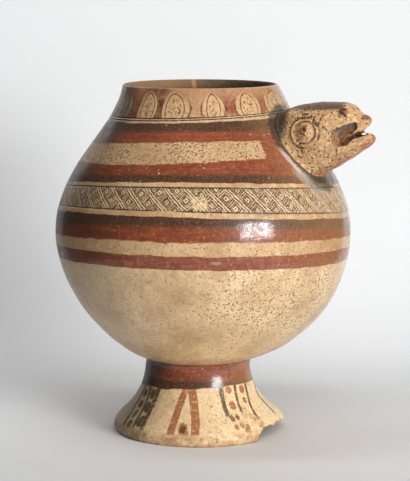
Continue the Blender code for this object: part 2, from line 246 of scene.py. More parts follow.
# The heights of the lines cut round the vessel.
GROOVES = EDGE["lattice_low"], EDGE["lattice_top"], EDGE["collar_line"], COLLAR_FROM
GROOVE_DIRT_HALF = 0.5
RELIEF_DEPTH = 0.2
PIT_SIZE = 1.4  # coarser than the real grit, so that it shows
SLIP_PATCHES = (
    # size in millimetres, detail, roughness
    (38.0, 3.0, 0.55),  # broad: one side fired paler than another
    (13.0, 2.0, 0.5),  # slow: stains, and the waver of a brushed edge
    (6.0, 4.0, 0.7),  # blotch: slip rubbed thick and thin
    (2.4, 4.0, 0.65),  # rough: ragged edges and wear
    (0.9, 3.0, 0.7),  # grain of the clay
    (3.6, 1.0, 0.5),  # scribble inside the ovals
    (PIT_SIZE, 2.0, 0.6),  # grit
)
HEAD_PATCHES = (
    # broad, rough, grain and grit, in the same way
    (11.0, 3.0, 0.55), (2.2, 4.0, 0.65), (0.8, 3.0, 0.7), (1.9, 2.0, 0.6),
)
LARGE_PIT_GAP, HEAD_PIT_GAP, OVAL_DOT_GAP, FLECK_GAP = 3.6, 3.4, 2.1, 6.5
STREAK_SHARE = 0.045, 0.045, 0.75  # strokes of the pebble run round: long, and 1.3 mm high
BURNISH = {"Coat Roughness": 0.08, "Coat IOR": 1.55, "Specular IOR Level": 0.35}
FOOT_SLIP_FROM = 8.0  # below this the foot's clay is bare
PANEL_FROM_HEAD_DEG = 31.0  # the cream panel stops this far from the head
FIRE_CLOUD = (-66.0, 248.0), (26.0, 24.0)  # (azimuth, height), half sizes
# Smoke stains and painted shade of the left side, away from the softbox: (azimuth, height), half
# sizes
SMOKED_AND_SHADED_SIDE = (-80.0, 178.0), (62.0, 92.0)
SMOKED_AND_SHADED_STEM = (-78.0, 49.0), (74.0, 15.0)
SMOKED_AND_SHADED_FOOT = (-92.0, 16.0), (82.0, 40.0)
SCAR = (4.6, 139.6), (4.2, 1.7)
LINE_GAP_DEG = -14.0, 4.0  # a worn stretch of the lower line of the lattice
RIM_NOTCH_DEG, NOTCH_FROM = (-174.0, 1.8), 255.0  # pale clay inside the back of the rim
PITTED = (38.0, 110.0), (70.0, 36.0)
LIGHT_RIGHT_SIDE = 40.0, 98.0  # how far right the slips and cut lines are painted paler as painted light of the lit right side: where it starts, and where it is whole
SHINE_SIDE = -104.0, -66.0  # the shine grows from the far left, and is then whole
RIM_CLAY = 254.0, 262.0  # where bare clay starts to show towards the rim
PANEL_WEAR = 256.0, 263.0  # where the red between the ovals wears off
WINE_PANEL = -32.0, 11.0, 5.0  # azimuth, half width and softness of the dark red panel
WORN_PANEL = -4.0, 8.0, 5.0
DUSTED_TURN_DEG = -50.0, 22.0, 12.0  # round the head: middle, half width, softness
SCRAPED_TURN_DEG = -18.0, 17.0, 8.0

# Patterns on the surface are laid out on a belt about as wide as the belly.
BELT_RADIUS = 108.0
STRIP_WIDTH = math.tau * BELT_RADIUS / 45 * 0.5 ** 0.5  # 45 strips go round
STRIP_RAILS = (0.4, 2.3, 4.2)
CELL_LENGTH = 9.4
CELL_RUNGS = (0.4, 1.95, 3.5)
SQUARE_AT, SQUARE_HALF = (7.5, 6.5), 2.0
LINE_HALF, LINE_SOFT = 0.5, 0.18
LATTICE_WORN_AT, LATTICE_WORN_SIZE = (-1.0, 177.0), (5.5, 4.2)

OVALS_ROUND = 16.0  # the span of the counts below
OVAL_TURNS = (
    # azimuth, count of ovals up to there: they are neither as wide nor as far apart
    (-180.0, -7.8), (-66.0, -3.0), (-42.4, -2.28), (-32.5, -1.72), (-23.9, -1.28),
    (-11.4, -0.72), (2.9, -0.28), (11.6, 0.28), (25.6, 0.72), (38.1, 1.28),
    (49.5, 1.72), (66.0, 2.28), (103.0, 4.0), (180.0, 7.2),
)
OVAL_HEIGHT = 250.5
OVAL_INNER, OVAL_OUTER = (0.28, 10.5), (0.41, 12.2)  # share of a turn, millimetres

FOOT_MARKS = (
    # slip, width, (azimuth, height) from its top to its foot
    ("line", 3.4, ((-42.4, 38.5), (-44.4, 22.8), (-42.6, 9.0))),
    ("line", 1.9, ((-55.8, 38.5), (-54.0, 26.3), (-53.1, 19.4), (-51.0, 9.4))),
    ("line", 2.8, ((-66.6, 38.0), (-68.1, 23.2), (-63.3, 11.5), (-64.5, 4.2))),
    ("orange", 4.9, ((-9.6, 41.5), (-16.0, 28.3), (-18.8, 18.3), (-20.1, 7.5))),
    ("orange", 5.4, ((-7.0, 41.5), (-3.9, 28.7), (-3.1, 21.0), (-3.2, 8.0))),
    ("black", 2.4, ((24.2, 37.5), (24.1, 28.0), (24.0, 18.2))),
    ("black", 1.3, ((41.4, 39.5), (39.9, 28.2), (37.8, 19.7))),
    ("black", 1.5, ((58.3, 40.0), (56.3, 29.8), (50.1, 18.9), (49.1, 14.5))),
    ("mark", 2.6, ((90.6, 37.0), (77.6, 27.1), (76.6, 19.7), (73.8, 13.5))),
    ("black", 1.8, ((142.0, 37.0), (140.0, 24.0), (141.0, 9.0))),
    ("mark", 4.6, ((-172.0, 38.0), (-166.0, 24.0), (-163.0, 9.0))),
    ("black", 1.8, ((-118.0, 37.0), (-120.0, 24.0), (-119.0, 9.0))),
)
FOOT_DOTS = (
    # slip, radius, (azimuth, height) of each dot
    ("line", 3.1, ((-48.6, 32.4), (-49.2, 23.2), (-47.4, 14.2))),
    ("line", 2.2, ((-62.0, 32.3), (-60.4, 24.2), (-59.2, 17.6), (-57.2, 10.9))),
    ("orange", 2.1, ((32.5, 34.1), (32.1, 24.2), (49.7, 33.2))),
    ("orange", 2.6, ((-8.4, 37.0),)),
    ("mark", 1.2, ((31.2, 17.6), (48.3, 26.0), (26.4, 17.0))),
    ("blush", 3.1, ((-11.7, 12.2), (-10.8, 8.6))),
    ("mark", 2.0, ((-11.7, 12.0),)),
    ("blush", 1.2, ((26.6, 12.0), (31.5, 12.6), (35.5, 11.2), (33.4, 9.6))),
    ("clay", 3.3, ((40.5, 18.6), (43.0, 16.4), (45.5, 14.2), (48.0, 12.6))),
    ("orange", 2.1, ((151.0, 34.0), (151.0, 25.0), (151.0, 16.0))),
    ("orange", 2.1, ((-128.0, 34.0), (-128.0, 25.0), (-128.0, 16.0))),
)


def linear(hex_colour):
    """The linear colour of an sRGB hex value, as shaders take it."""
    shares = [int(hex_colour[k : k + 2], 16) / 255 for k in (0, 2, 4)]
    return tuple(s / 12.92 if s <= 0.04045 else ((s + 0.055) / 1.055) ** 2.4 for s in shares)


def colour(name, hex_colour, description):
    return bpy.props.FloatVectorProperty(
        name=name, description=description, subtype="COLOR", size=3,
        min=0.0, max=1.0, default=linear(hex_colour),
    )


def length(name, millimetres, description):
    return bpy.props.FloatProperty(
        name=name, description=description, unit="LENGTH", subtype="DISTANCE",
        min=0.0, default=millimetres * MM, precision=5,
    )


class VesselSettings(bpy.types.PropertyGroup):
    row_gap: length("Row gap", 1.6, "Distance between rows of the outer surface")
    inner_row_gap: length("Inner row gap", 4.0, "Distance between rows inside")
    around: bpy.props.IntProperty(
        name="Around", description="Faces around the vessel", min=32, default=256
    )
    groove_depth: length("Groove depth", 0.35, "Depth of the lines cut round the vessel")
    groove_width: length("Groove width", 1.0, "Width of the lines cut round the vessel")
    unevenness: length("Unevenness", 0.35, "Swell of the hand-smoothed surface")


class SlipSettings(bpy.types.PropertyGroup):
    cream: colour("Cream slip", "D3AB7B", "The ground slip of the body")
    pale: colour("Pale cream slip", "EED0A2", "The thicker ground slip of the foot")
    # Also laid over the slips on the right, as painted light.
    clay: colour("Clay", "BC8F64", "Bare buff clay, at the lip, the foot's edge and breaks")
    # Also laid on the foot's bare lip towards the left, as painted shade.
    blush: colour("Stain", "A9714C", "Pinkish brown stains of the firing")
    red: colour("Red slip", "84402B", "The red bands")
    orange: colour("Orange red", "A45A34", "Red slip where it is thin")
    black: colour("Black slip", "443126", "The black bands")
    # Also laid along the crease under the body, as painted shade.
    line: colour("Cut line", "43291C", "Lines cut through the slip, and their dirt")
    # Also laid as painted shade: on the left side, stem and foot, inside the vessel, on the head's
    # rear and in the jaw's slit.
    soot_and_shade: colour("Fire cloud", "3A322B", "Smoke stains of the firing")
    lime: colour("Deposit", "CFC6B6", "Pale deposit of the soil")
    mark: colour("Foot marks", "6B3A27", "The painted bars of the foot")


class HeadSettings(bpy.types.PropertyGroup):
    voxel: length("Voxel", 0.55, "Size of the head's faces")
    skirt: length("Skirt", 2.0, "How far the head's clay is smeared onto the shoulder")


class StageSettings(bpy.types.PropertyGroup):
    paper: colour("Paper", "E6E7E8", "Colour of the paper sweep")


def fine_curve(points, gap):
    """Points about a gap apart along a centripetal Catmull-Rom curve."""
    points = [np.array(p, float) for p in points]
    ends = [2 * points[0] - points[1]] + points + [2 * points[-1] - points[-2]]
    found = []
    for span in zip(ends, ends[1:], ends[2:], ends[3:]):
        knots = [0.0]
        for one, two in zip(span, span[1:]):
            knots.append(knots[-1] + max(np.linalg.norm(two - one), 1e-6) ** 0.5)
        count = max(int(round(np.linalg.norm(span[2] - span[1]) / gap)), 1)
        for t in np.linspace(knots[1], knots[2], count, endpoint=False):
            level = list(span)
            for depth in (1, 2):
                level = [
                    one + (two - one) * (t - knots[k]) / (knots[k + depth] - knots[k])
                    for k, (one, two) in enumerate(zip(level, level[1:]))
                ]
            share = (t - knots[1]) / (knots[2] - knots[1])
            found.append(level[0] + (level[1] - level[0]) * share)
    return found + [points[-1]]


def height_of(step):
    return FOOT_HEIGHT * min(step, 1.0) + BODY_HEIGHT * max(step - 1.0, 0.0)


def step_of(height):
    height = np.asarray(height, float)
    return np.where(
        height < FOOT_HEIGHT, height / FOOT_HEIGHT, 1.0 + (height - FOOT_HEIGHT) / BODY_HEIGHT
    )


def foot_points():
    """(height, radius) up the outside of the foot."""
    spread = FOOT_RADIUS - STEM_RADIUS
    return (
        [(0.0, FOOT_RADIUS - FOOT_CONTACT_OUT)]
        + [(height, FOOT_RADIUS - inset) for height, inset in FOOT_LIP]
        + [(height_of(step), STEM_RADIUS + spread * share) for step, share in FOOT_FLARE]
    )


def body_points():
    """(height, radius) up the outside of the body."""
    spread = BELLY_RADIUS - COLLAR_RADIUS
    return (
        [foot_points()[-1]]
        + [(height_of(step), BELLY_RADIUS * share) for step, share in BODY_LOW]
        + [(height_of(step), COLLAR_RADIUS + spread * share) for step, share in SHOULDER]
    )


FINE_GAP = 0.4
OUTSIDE = np.array(fine_curve(foot_points(), FINE_GAP)[:-1] + fine_curve(body_points(), FINE_GAP))


def reach_at(height):
    """The vessel's outer radius at a height of the turned form."""
    return np.interp(height, OUTSIDE[:, 0], OUTSIDE[:, 1])


def rim_points():
    top = height_of(2.0)
    return [(top - drop, COLLAR_RADIUS - LIP_WALL * share) for drop, share in RIM_LIP]


def inside_points():
    """(height, radius) down the inside of the body, a wall's thickness in."""
    body = body_points()
    places = []
    for before, here, after in zip(body, body[1:], body[2:]):
        along = np.array(after) - np.array(before)
        along /= np.linalg.norm(along)
        wall = WALL_LOW + (WALL_HIGH - WALL_LOW) * (step_of(here[0]) - 1.0)
        place = (here[0] + along[1] * wall, here[1] - along[0] * wall)
        if height_of(INSIDE_FROM) < place[0] < height_of(INSIDE_TO):
            places.append(place)
    floor = FOOT_HEIGHT - FLOOR_DROP + FLOOR_THICKNESS
    rise, share = FLOOR_BOWL
    return places[::-1] + [(floor + rise, places[0][1] * share), (floor, 0.0)]


def foot_inside_points():
    """(height, radius) from the middle of the foot's dome down to its ring."""
    fade_to, power = LIP_WALL_FADE
    places = [(0.0, FOOT_RADIUS - FOOT_CONTACT_OUT - FOOT_CONTACT_WIDTH)]
    for step in FOOT_INSIDE_STEPS:
        extra = (FOOT_LIP_WALL - FOOT_WALL) * max(1.0 - step / fade_to, 0.0) ** power
        places.append((height_of(step), float(reach_at(height_of(step))) - FOOT_WALL - extra))
    top, reach = FOOT_HEIGHT - FLOOR_DROP, places[-1][1]
    places += [(top - drop, reach * share) for drop, share in FOOT_DOME]
    return (places + [(top, 0.0)])[::-1]


def outer_rows(row_gap, groove_width):
    """Heights of the outer surface's rows, closer together at each cut line."""
    along = np.concatenate([[0], np.hypot(*np.diff(OUTSIDE, axis=0).T).cumsum()])
    count = int(along[-1] / row_gap)
    heights = list(np.interp(np.linspace(0, along[-1], count), along, OUTSIDE[:, 0]))
    for groove in GROOVES:
        near = groove_width * 0.75
        heights = [h for h in heights if abs(h - groove) > near]
        heights += [groove + groove_width * k / 4 for k in (-2, -1, 0, 1, 2)]
    heights = sorted(heights + [FOOT_HEIGHT])
    return [h for k, h in enumerate(heights) if k == 0 or h - heights[k - 1] > ROW_GAP_MIN]


def eased(share):
    """A share held between 0 and 1, that starts and ends gently."""
    share = np.clip(share, 0.0, 1.0)
    return share * share * (3 - 2 * share)


def dip_share(height):
    return eased((step_of(height) - RIM_DIP_FROM) / (RIM_DIP_FULL - RIM_DIP_FROM))


def drift_at(height):
    steps, shifts = zip(*AXIS_DRIFT)
    return np.interp(step_of(height), steps, shifts)


def edge_heights(turn):
    """Nominal height of each painted edge, and its height on the turned form there."""
    front = np.cos(turn)
    front = np.where(front > 0, front, BACK_SHARE * front)
    right = np.sin(turn)
    nominal, real = [0.0], [np.zeros_like(turn)]
    for height, at_front, at_right in PAINT_EDGES.values():
        lean = float(dip_share(height) * reach_at(height)) * RIM_DIP * np.cos(turn)
        nominal.append(height)
        real.append(height + at_front * front + at_right * right + lean)
        if height == EDGE["stem_black_top"]:
            nominal.append(FOOT_HEIGHT)
            real.append(np.full_like(turn, FOOT_HEIGHT))
    for height in (RIM_FROM, 2 * RIM_FROM):
        nominal.append(height)
        real.append(np.full_like(turn, height))
    return nominal, real


def along_edges(values, come_from, go_to):
    """Maps heights from one scale of painted edges to another, span by span."""
    found = np.array(values, float)
    for k in range(len(come_from) - 1):
        low, high = np.broadcast_arrays(come_from[k], values)[0], come_from[k + 1]
        share = (values - low) / (high - low)
        inside = (share >= 0) & (share <= 1)
        placed = go_to[k] + (go_to[k + 1] - go_to[k]) * share
        found = np.where(inside, placed, found)
    return found


def leaned(turn, radius, height):
    """Where the potter's form has a point of the true turned form."""
    x = AXIS_X + drift_at(height) + radius * np.sin(turn)
    y = -radius * np.cos(turn)
    z = height + dip_share(height) * y * RIM_DIP
    return np.stack([x, y, z], axis=-1)


def unleaned(places):
    """Turn, radius and height on the true turned form, of places on the vase."""
    x, y, z = places.T
    height = z.copy()
    for _ in range(4):
        height = z - dip_share(height) * y * RIM_DIP
    across = x - AXIS_X - drift_at(height)
    return np.arctan2(across, -y), np.hypot(across, y), height


def swell(places, size, seed):
    """Smooth noise from -1 to 1 at each place, its lumps about `size` across."""
    shift = Vector((seed, 2.3 * seed, -1.7 * seed))
    return np.array([noise.noise(Vector(p) / size + shift) for p in places])


def lumps(places, kinds):
    """Sum of noises, each with its height, size and seed."""
    return sum(height * swell(places, size, seed) for height, size, seed in kinds)


def vertices_of(mesh):
    places = np.empty(len(mesh.vertices) * 3, np.float32)
    mesh.vertices.foreach_get("co", places)
    return places.reshape(-1, 3).astype(float)


def put_vertices(mesh, places):
    mesh.vertices.foreach_set("co", np.asarray(places, np.float32).ravel())
    mesh.update()


def turned(mesh):
    """Turn from the front, radius and height of each vertex."""
    x, y, height = (vertices_of(mesh) / MM).T
    return np.arctan2(x, -y), np.hypot(x, y), height


def mode(name):
    bpy.ops.object.mode_set(mode=name)


def select(action="SELECT"):
    bpy.ops.mesh.select_all(action=action)


def pick(made=None):
    """Deselects everything but this piece, so that an operator acts on it alone."""
    if bpy.context.mode != "OBJECT":
        mode("OBJECT")
    bpy.ops.object.select_all(action="DESELECT")
    if made:
        bpy.context.view_layer.objects.active = made
        made.select_set(True)


def primitive(kind, name, **sizes):
    """A new primitive mesh of this kind, on its own."""
    pick()
    getattr(bpy.ops.mesh, f"primitive_{kind}_add")(**sizes)
    made = bpy.context.object
    made.name = made.data.name = name
    return made


def outward(made):
    """Turns all faces outwards."""
    pick(made)
    mode("EDIT")
    select()
    bpy.ops.mesh.normals_make_consistent(inside=False)
    mode("OBJECT")
    return made


def drawn_up(name, corners, rings):
    """A many-sided rod of this many rings, one above the other, to be moved in place."""
    made = primitive("circle", name, vertices=corners, radius=1.0, fill_type="NGON")
    mode("EDIT")
    select()
    for _ in range(rings):
        bpy.ops.mesh.extrude_region_move(TRANSFORM_OT_translate={"value": (0, 0, 1)})
    mode("OBJECT")
    return made


def spun(name, section, around):
    """Extrudes a vertex along this (height, radius) section and spins it round Z."""
    made = primitive("plane", name, size=MM, location=(0, 0, 0))
    mode("EDIT")
    bpy.ops.mesh.merge(type="CENTER")
    bpy.ops.transform.translate(value=(section[0][1] * MM, 0, section[0][0] * MM))
    for (h1, r1), (h2, r2) in zip(section, section[1:]):
        step = ((r2 - r1) * MM, 0, (h2 - h1) * MM)
        bpy.ops.mesh.extrude_vertices_move(TRANSFORM_OT_translate={"value": step})
    select()
    bpy.ops.mesh.spin(steps=around, angle=math.tau, center=(0, 0, 0), axis=(0, 0, 1))
    select()
    bpy.ops.mesh.remove_doubles(threshold=0.01 * MM)
    bpy.ops.mesh.normals_make_consistent(inside=False)
    mode("OBJECT")
    return made


def apply_modifier(made, kind, **settings):
    pick(made)
    modifier = made.modifiers.new(kind.lower(), kind)
    for name, value in settings.items():
        setattr(modifier, name, value)
    bpy.ops.object.modifier_apply(modifier=modifier.name)


def shape(target, tool, operation):
    """Joins the tool to the target, or cuts it out of it, and takes the tool away."""
    apply_modifier(
        target, "BOOLEAN", operation=operation, solver="EXACT", material_mode="TRANSFER",
        object=tool,
    )
    bpy.data.objects.remove(tool)


def vessel_section(settings):
    """(height, radius) round the whole section, from the foot's dome to the floor."""
    inner = settings.inner_row_gap / MM
    rows = outer_rows(settings.row_gap / MM, settings.groove_width / MM)
    outside = [(h, float(reach_at(h))) for h in rows]
    lip = fine_curve([outside[-4], outside[-1]] + rim_points() + inside_points()[:2], LIP_GAP)
    keep = [p for p in lip if p[0] > RIM_FROM + 0.1 or p[1] < COLLAR_RADIUS - 2]
    turned_in = [tuple(p) for p in keep if p[0] > height_of(INSIDE_TO) - 4]
    inside = [tuple(p) for p in fine_curve([rim_points()[-1]] + inside_points(), inner)]
    inside = [p for p in inside if p[0] < turned_in[-1][0] - 0.5 * inner]
    under = [tuple(p) for p in fine_curve(foot_inside_points(), inner)]
    return under + outside + turned_in + inside


def uneven_and_cut(mesh, settings):
    """Moves the turned rows to the painted edges' places and the potter's lean."""
    turn, radius, height = turned(mesh)
    outer = (radius > reach_at(height) - SKIN) & (height > 0.01) & (height < RIM_FROM)
    nominal, real = edge_heights(turn)
    form_height = np.where(outer, along_edges(height, nominal, real), height)
    cut = np.zeros_like(height)
    half = settings.groove_width / MM / 2
    for groove in GROOVES:
        cut = np.maximum(cut, eased(1 - np.abs(height - groove) / half))
    radius = np.where(outer, reach_at(form_height) - cut * settings.groove_depth / MM, radius)
    across, ahead = np.sin(turn) * SWELL_RADIUS, np.cos(turn) * SWELL_RADIUS
    around = np.stack([across, ahead, form_height], axis=-1)
    still = np.clip(form_height / STILL_HEIGHT, 0, 1)
    swells = lumps(around, HAND_SWELLS) * still * settings.unevenness / MM
    radius = radius + swells * np.clip(radius / STILL_RADIUS, 0, 1)
    put_vertices(mesh, leaned(turn, radius, form_height) * MM)


def lip_chip():
    """The lost piece of the foot's lip: a block with a ragged top, to be cut away."""
    made = primitive("cube", "lip_chip", size=1.0, location=(0.5, 0.5, 0.5))
    mode("EDIT")
    select()
    bpy.ops.mesh.subdivide(number_cuts=CHIP_CUTS)
    mode("OBJECT")
    bpy.ops.object.transform_apply(location=True, rotation=False, scale=False)
    along, out, up = vertices_of(made.data).T
    azimuths, edges = zip(*CHIP)
    azimuth = azimuths[0] + (azimuths[-1] - azimuths[0]) * along
    stands_to = FOOT_RADIUS - FOOT_CONTACT_OUT
    stands_from = stands_to - FOOT_CONTACT_WIDTH
    radius = stands_from - CHIP_PAST + (stands_to - stands_from + 2 * CHIP_PAST) * out
    edge = np.interp(azimuth, azimuths, edges)
    slope = CHIP_INNER_DROP / FOOT_CONTACT_WIDTH
    top = edge + np.clip(radius - stands_to, -2 * FOOT_CONTACT_WIDTH, 4) * slope
    turn = np.radians(azimuth)
    across, depth = radius * np.sin(turn), -radius * np.cos(turn)
    grain = np.stack([across, depth, np.zeros_like(across)], axis=-1)
    top = top + lumps(grain, CHIP_GRAIN)
    height = -CHIP_BELOW + (np.maximum(top, 1 - CHIP_BELOW) + CHIP_BELOW) * up
    shift = AXIS_X + float(drift_at(0.0))
    put_vertices(made.data, np.stack([shift + across, depth, height], axis=-1) * MM)
    made.data.materials.append(bpy.data.materials.new("broken"))
    return outward(made)


def store(mesh, name, kind, domain, values):
    attribute = mesh.attributes.new(name, kind, domain)
    field = "vector" if kind == "FLOAT_VECTOR" else "value"
    attribute.data.foreach_set(field, np.asarray(values, np.float32).ravel())


def mark_surface(mesh):
    """Stores where each point lies on the turned vase, and what kind of skin it has."""
    turn, radius, form_height = unleaned(vertices_of(mesh) / MM)
    outer = radius > reach_at(np.minimum(form_height, RIM_FROM)) - BURIED
    nominal, real = edge_heights(turn)
    height = np.where(outer, along_edges(form_height, real, nominal), form_height)
    store(
        mesh, "turned", "FLOAT_VECTOR", "POINT",
        np.stack([np.sin(turn), np.cos(turn), height], axis=-1),
    )
    store(mesh, "outer", "FLOAT", "POINT", outer)
    forward, across, up = world_to_head(vertices_of(mesh) / MM)
    root_up, root_half_width, root_half_height = HEAD_ROOT
    reach = np.hypot(across / root_half_width, (up - root_up) / root_half_height) - 1
    gap = np.where(forward > -50, reach * root_half_width, 99.0)
    store(mesh, "head_gap", "FLOAT", "POINT", gap)
    store(mesh, "head_turn", "FLOAT", "POINT", np.degrees(np.arctan2(up - root_up, across)))
    broken = np.zeros(len(mesh.polygons), np.int32)
    mesh.polygons.foreach_get("material_index", broken)
    corners = np.zeros(len(mesh.polygons), np.int32)
    mesh.polygons.foreach_get("loop_total", corners)
    store(mesh, "broken", "FLOAT", "CORNER", np.repeat(broken > 0, corners))
    mesh.polygons.foreach_set("material_index", np.zeros_like(broken))


def shade(made, material):
    made.data.materials.clear()
    made.data.materials.append(material)
    pick(made)
    bpy.ops.object.shade_smooth()


def add(tree, kind, *inputs, **settings):
    """Adds a node such as TexNoise or Math.ADD, fills its inputs in order with values,
    colours or links, and gives its first output."""
    kind, _, operation = kind.partition(".")
    node = tree.nodes.new("ShaderNode" + kind)
    if operation:
        node.operation = operation
    for name, value in settings.items():
        setattr(node, name, value)
    for socket, value in zip(node.inputs, inputs):
        if isinstance(value, bpy.types.NodeSocket):
            tree.links.new(value, socket)
        elif value is not None:
            socket.default_value = (*value, 1.0) if socket.type == "RGBA" else value
    return node.outputs[0]


# A noise runs from about 0.2 to 0.8, and a MapRange turns a stretch of it, given by its
# two ends, into the share of the surface that a stain, a wear or a gloss takes.
SMOOTH = {"interpolation_type": "SMOOTHSTEP"}


def new_material(name):
    material = bpy.data.materials.new(name)
    material.use_nodes = True
    tree = material.node_tree
    return material, tree, tree.nodes["Principled BSDF"]


def above(tree, value, edge, soft):
    """1 where the value is above the edge, 0 below it."""
    return add(tree, "MapRange", value, edge - soft, edge + soft, 0.0, 1.0, **SMOOTH)


def between(tree, value, low, high, soft_low, soft_high):
    rise = above(tree, value, low, soft_low)
    past = above(tree, value, high, soft_high)
    return add(tree, "Math.SUBTRACT", rise, past, use_clamp=True)


def near(tree, value, middle, half, soft):
    """1 where the value is within half a width of the middle."""
    off = add(tree, "Math.ABSOLUTE", add(tree, "Math.SUBTRACT", value, middle))
    return add(tree, "MapRange", off, half - soft, half + soft, 1.0, 0.0, **SMOOTH)


def any_of(tree, *masks):
    found = masks[0]
    for mask in masks[1:]:
        found = add(tree, "Math.MAXIMUM", found, mask)
    return found


def all_of(tree, *masks):
    found = masks[0]
    for mask in masks[1:]:
        found = add(tree, "Math.MULTIPLY", found, mask)
    return found


def none_of(tree, mask):
    return add(tree, "Math.SUBTRACT", 1.0, mask)


def laid(tree, colour, *layers):
    """Lays one colour after another on the first, each where all its masks say so."""
    for over, *masks in layers:
        colour = add(tree, "MixRGB", all_of(tree, *masks), colour, over)
    return colour


def patches(tree, place, *kinds):
    """Noises, each with its patches' size in millimetres, its detail and roughness."""
    return [add(tree, "TexNoise", place, None, 1 / kind[0], *kind[1:]) for kind in kinds]


def distance(tree, one, two):
    """How far (one, two) is from nought."""
    reach = add(tree, "VectorMath.LENGTH", add(tree, "CombineXYZ", one, two))
    return reach.node.outputs["Value"]


def finish_skin(tree, shader, colour, tones, relief, strength, depth):
    """Darkens and lightens the colour by its noises, and gives the skin its relief,
    finer than the mesh can carry."""
    tone = all_of(tree, *(add(tree, "MapRange", value, 0.3, 0.7, *ends) for value, *ends in tones))
    toned = add(tree, "VectorMath.SCALE", colour)
    tree.links.new(tone, toned.node.inputs["Scale"])
    bump = add(tree, "Bump", strength, depth * MM)
    tree.links.new(relief, bump.node.inputs["Height"])
    tree.links.new(bump, shader.inputs["Normal"])
    return toned, bump


def turned_place(tree):
    """Azimuth in degrees, height in millimetres, and the place on a belt about as wide
    as the belly, which gives a pattern one scale all the way up."""
    turned = add(tree, "Attribute", attribute_name="turned").node.outputs["Vector"]
    split = add(tree, "SeparateXYZ", turned).node.outputs
    azimuth = add(tree, "Math.DEGREES", add(tree, "Math.ARCTAN2", split["X"], split["Y"]))
    belt = add(tree, "VectorMath.MULTIPLY", turned, (BELT_RADIUS, BELT_RADIUS, 1.0))
    return azimuth, split["Z"], belt


def patch_mask(tree, azimuth, height, rough, at, size, soft=0.35):
    """1 inside an oval patch round (azimuth, height), with a ragged, soft edge. Its
    half sizes are millimetres on the belt."""
    wide = math.radians(BELT_RADIUS) / size[0]
    along = add(tree, "Math.MULTIPLY_ADD", azimuth, wide, -at[0] * wide)
    up = add(tree, "Math.MULTIPLY_ADD", height, 1 / size[1], -at[1] / size[1])
    off = add(tree, "Math.MULTIPLY_ADD", rough, 1.4, distance(tree, along, up))
    return add(tree, "MapRange", off, 1.7 - soft, 1.7 + soft, 1.0, 0.0, **SMOOTH)


def patch(tree, one, two, waver, at, size):
    """1 within this reach of a place, with a ragged edge."""
    off = add(tree, "VectorMath.DISTANCE", add(tree, "CombineXYZ", one, two), (*at, 0.0))
    off = add(tree, "Math.ADD", off.node.outputs["Value"], all_of(tree, waver, 0.6))
    return add(tree, "MapRange", off, 0.6 * size, 1.2 * size, 1.0, 0.0)


def specks(tree, place, gap, crowd, size):
    """Round specks about a gap apart, of which this share of all shows."""
    cells = add(tree, "TexVoronoi", place, None, 1 / gap).node.outputs
    chance = add(tree, "SeparateXYZ", cells["Color"]).node.outputs
    shown = add(tree, "Math.LESS_THAN", chance["X"], crowd)
    reach = add(tree, "MapRange", chance["Y"], 0.0, 1.0, 0.5 * size, size)
    inside = add(tree, "Math.SUBTRACT", reach, cells["Distance"])
    return all_of(tree, add(tree, "MapRange", inside, -0.05, 0.05, **SMOOTH), shown)


def repeats(tree, place, width):
    """Which repeat of this width a place lies in, and how far into it."""
    which = add(tree, "Math.FLOOR", add(tree, "Math.DIVIDE", place, width))
    return which, add(tree, "Math.FLOORED_MODULO", place, width)


def lattice_lines(tree, azimuth, height, belt):
    """Plaited strips cut at 45 degrees: two rails, then rungs and dotted squares."""
    rough, flaked = patches(tree, belt, (5.0, 3.0, 0.6), (1.7, 2.0, 0.6))
    along = add(tree, "Math.MULTIPLY", azimuth, math.radians(BELT_RADIUS))
    along = add(tree, "Math.ADD", along, add(tree, "Math.MULTIPLY_ADD", rough, 3.2, -1.6))
    up = add(tree, "Math.SUBTRACT", height, EDGE["lattice_low"])
    across = all_of(tree, add(tree, "Math.ADD", along, up), 0.5 ** 0.5)
    down = all_of(tree, add(tree, "Math.SUBTRACT", along, up), 0.5 ** 0.5)
    strip, in_strip = repeats(tree, across, STRIP_WIDTH)
    chance = add(tree, "TexWhiteNoise", None, strip, noise_dimensions="1D")
    slid = add(tree, "Math.MULTIPLY_ADD", chance, CELL_LENGTH, down)
    cell, in_cell = repeats(tree, slid, CELL_LENGTH)
    rails, rungs = (
        any_of(tree, *(near(tree, place, at, LINE_HALF, LINE_SOFT) for at in lines))
        for place, lines in ((in_strip, STRIP_RAILS), (in_cell, CELL_RUNGS))
    )
    field = above(tree, in_strip, STRIP_RAILS[-1], 0.2)
    aside, ahead = (
        add(tree, "Math.ABSOLUTE", add(tree, "Math.SUBTRACT", place, at))
        for place, at in zip((in_strip, in_cell), SQUARE_AT)
    )
    square = near(tree, any_of(tree, aside, ahead), SQUARE_HALF, LINE_HALF, LINE_SOFT)
    dot = near(tree, add(tree, "Math.ADD", aside, ahead), 0.0, 0.75, 0.3)
    pair = add(tree, "CombineXYZ", strip, cell)
    choice = add(tree, "TexWhiteNoise", pair, noise_dimensions="3D")
    lines = any_of(tree, rails, all_of(tree, field, any_of(tree, rungs, square, dot)))
    zone = between(tree, height, EDGE["lattice_low"], EDGE["lattice_top"], 0.1, 0.1)
    worn = patch_mask(tree, azimuth, height, rough, LATTICE_WORN_AT, LATTICE_WORN_SIZE, 0.25)
    worn = all_of(tree, worn, add(tree, "MapRange", flaked, 0.35, 0.55, 0.3, 1.0))
    patchy = add(tree, "MapRange", flaked, 0.5, 0.72, 1.0, 0.45)
    kept = add(tree, "Math.SUBTRACT", patchy, worn, use_clamp=True)
    return all_of(tree, lines, zone, kept), all_of(tree, choice, field, zone)


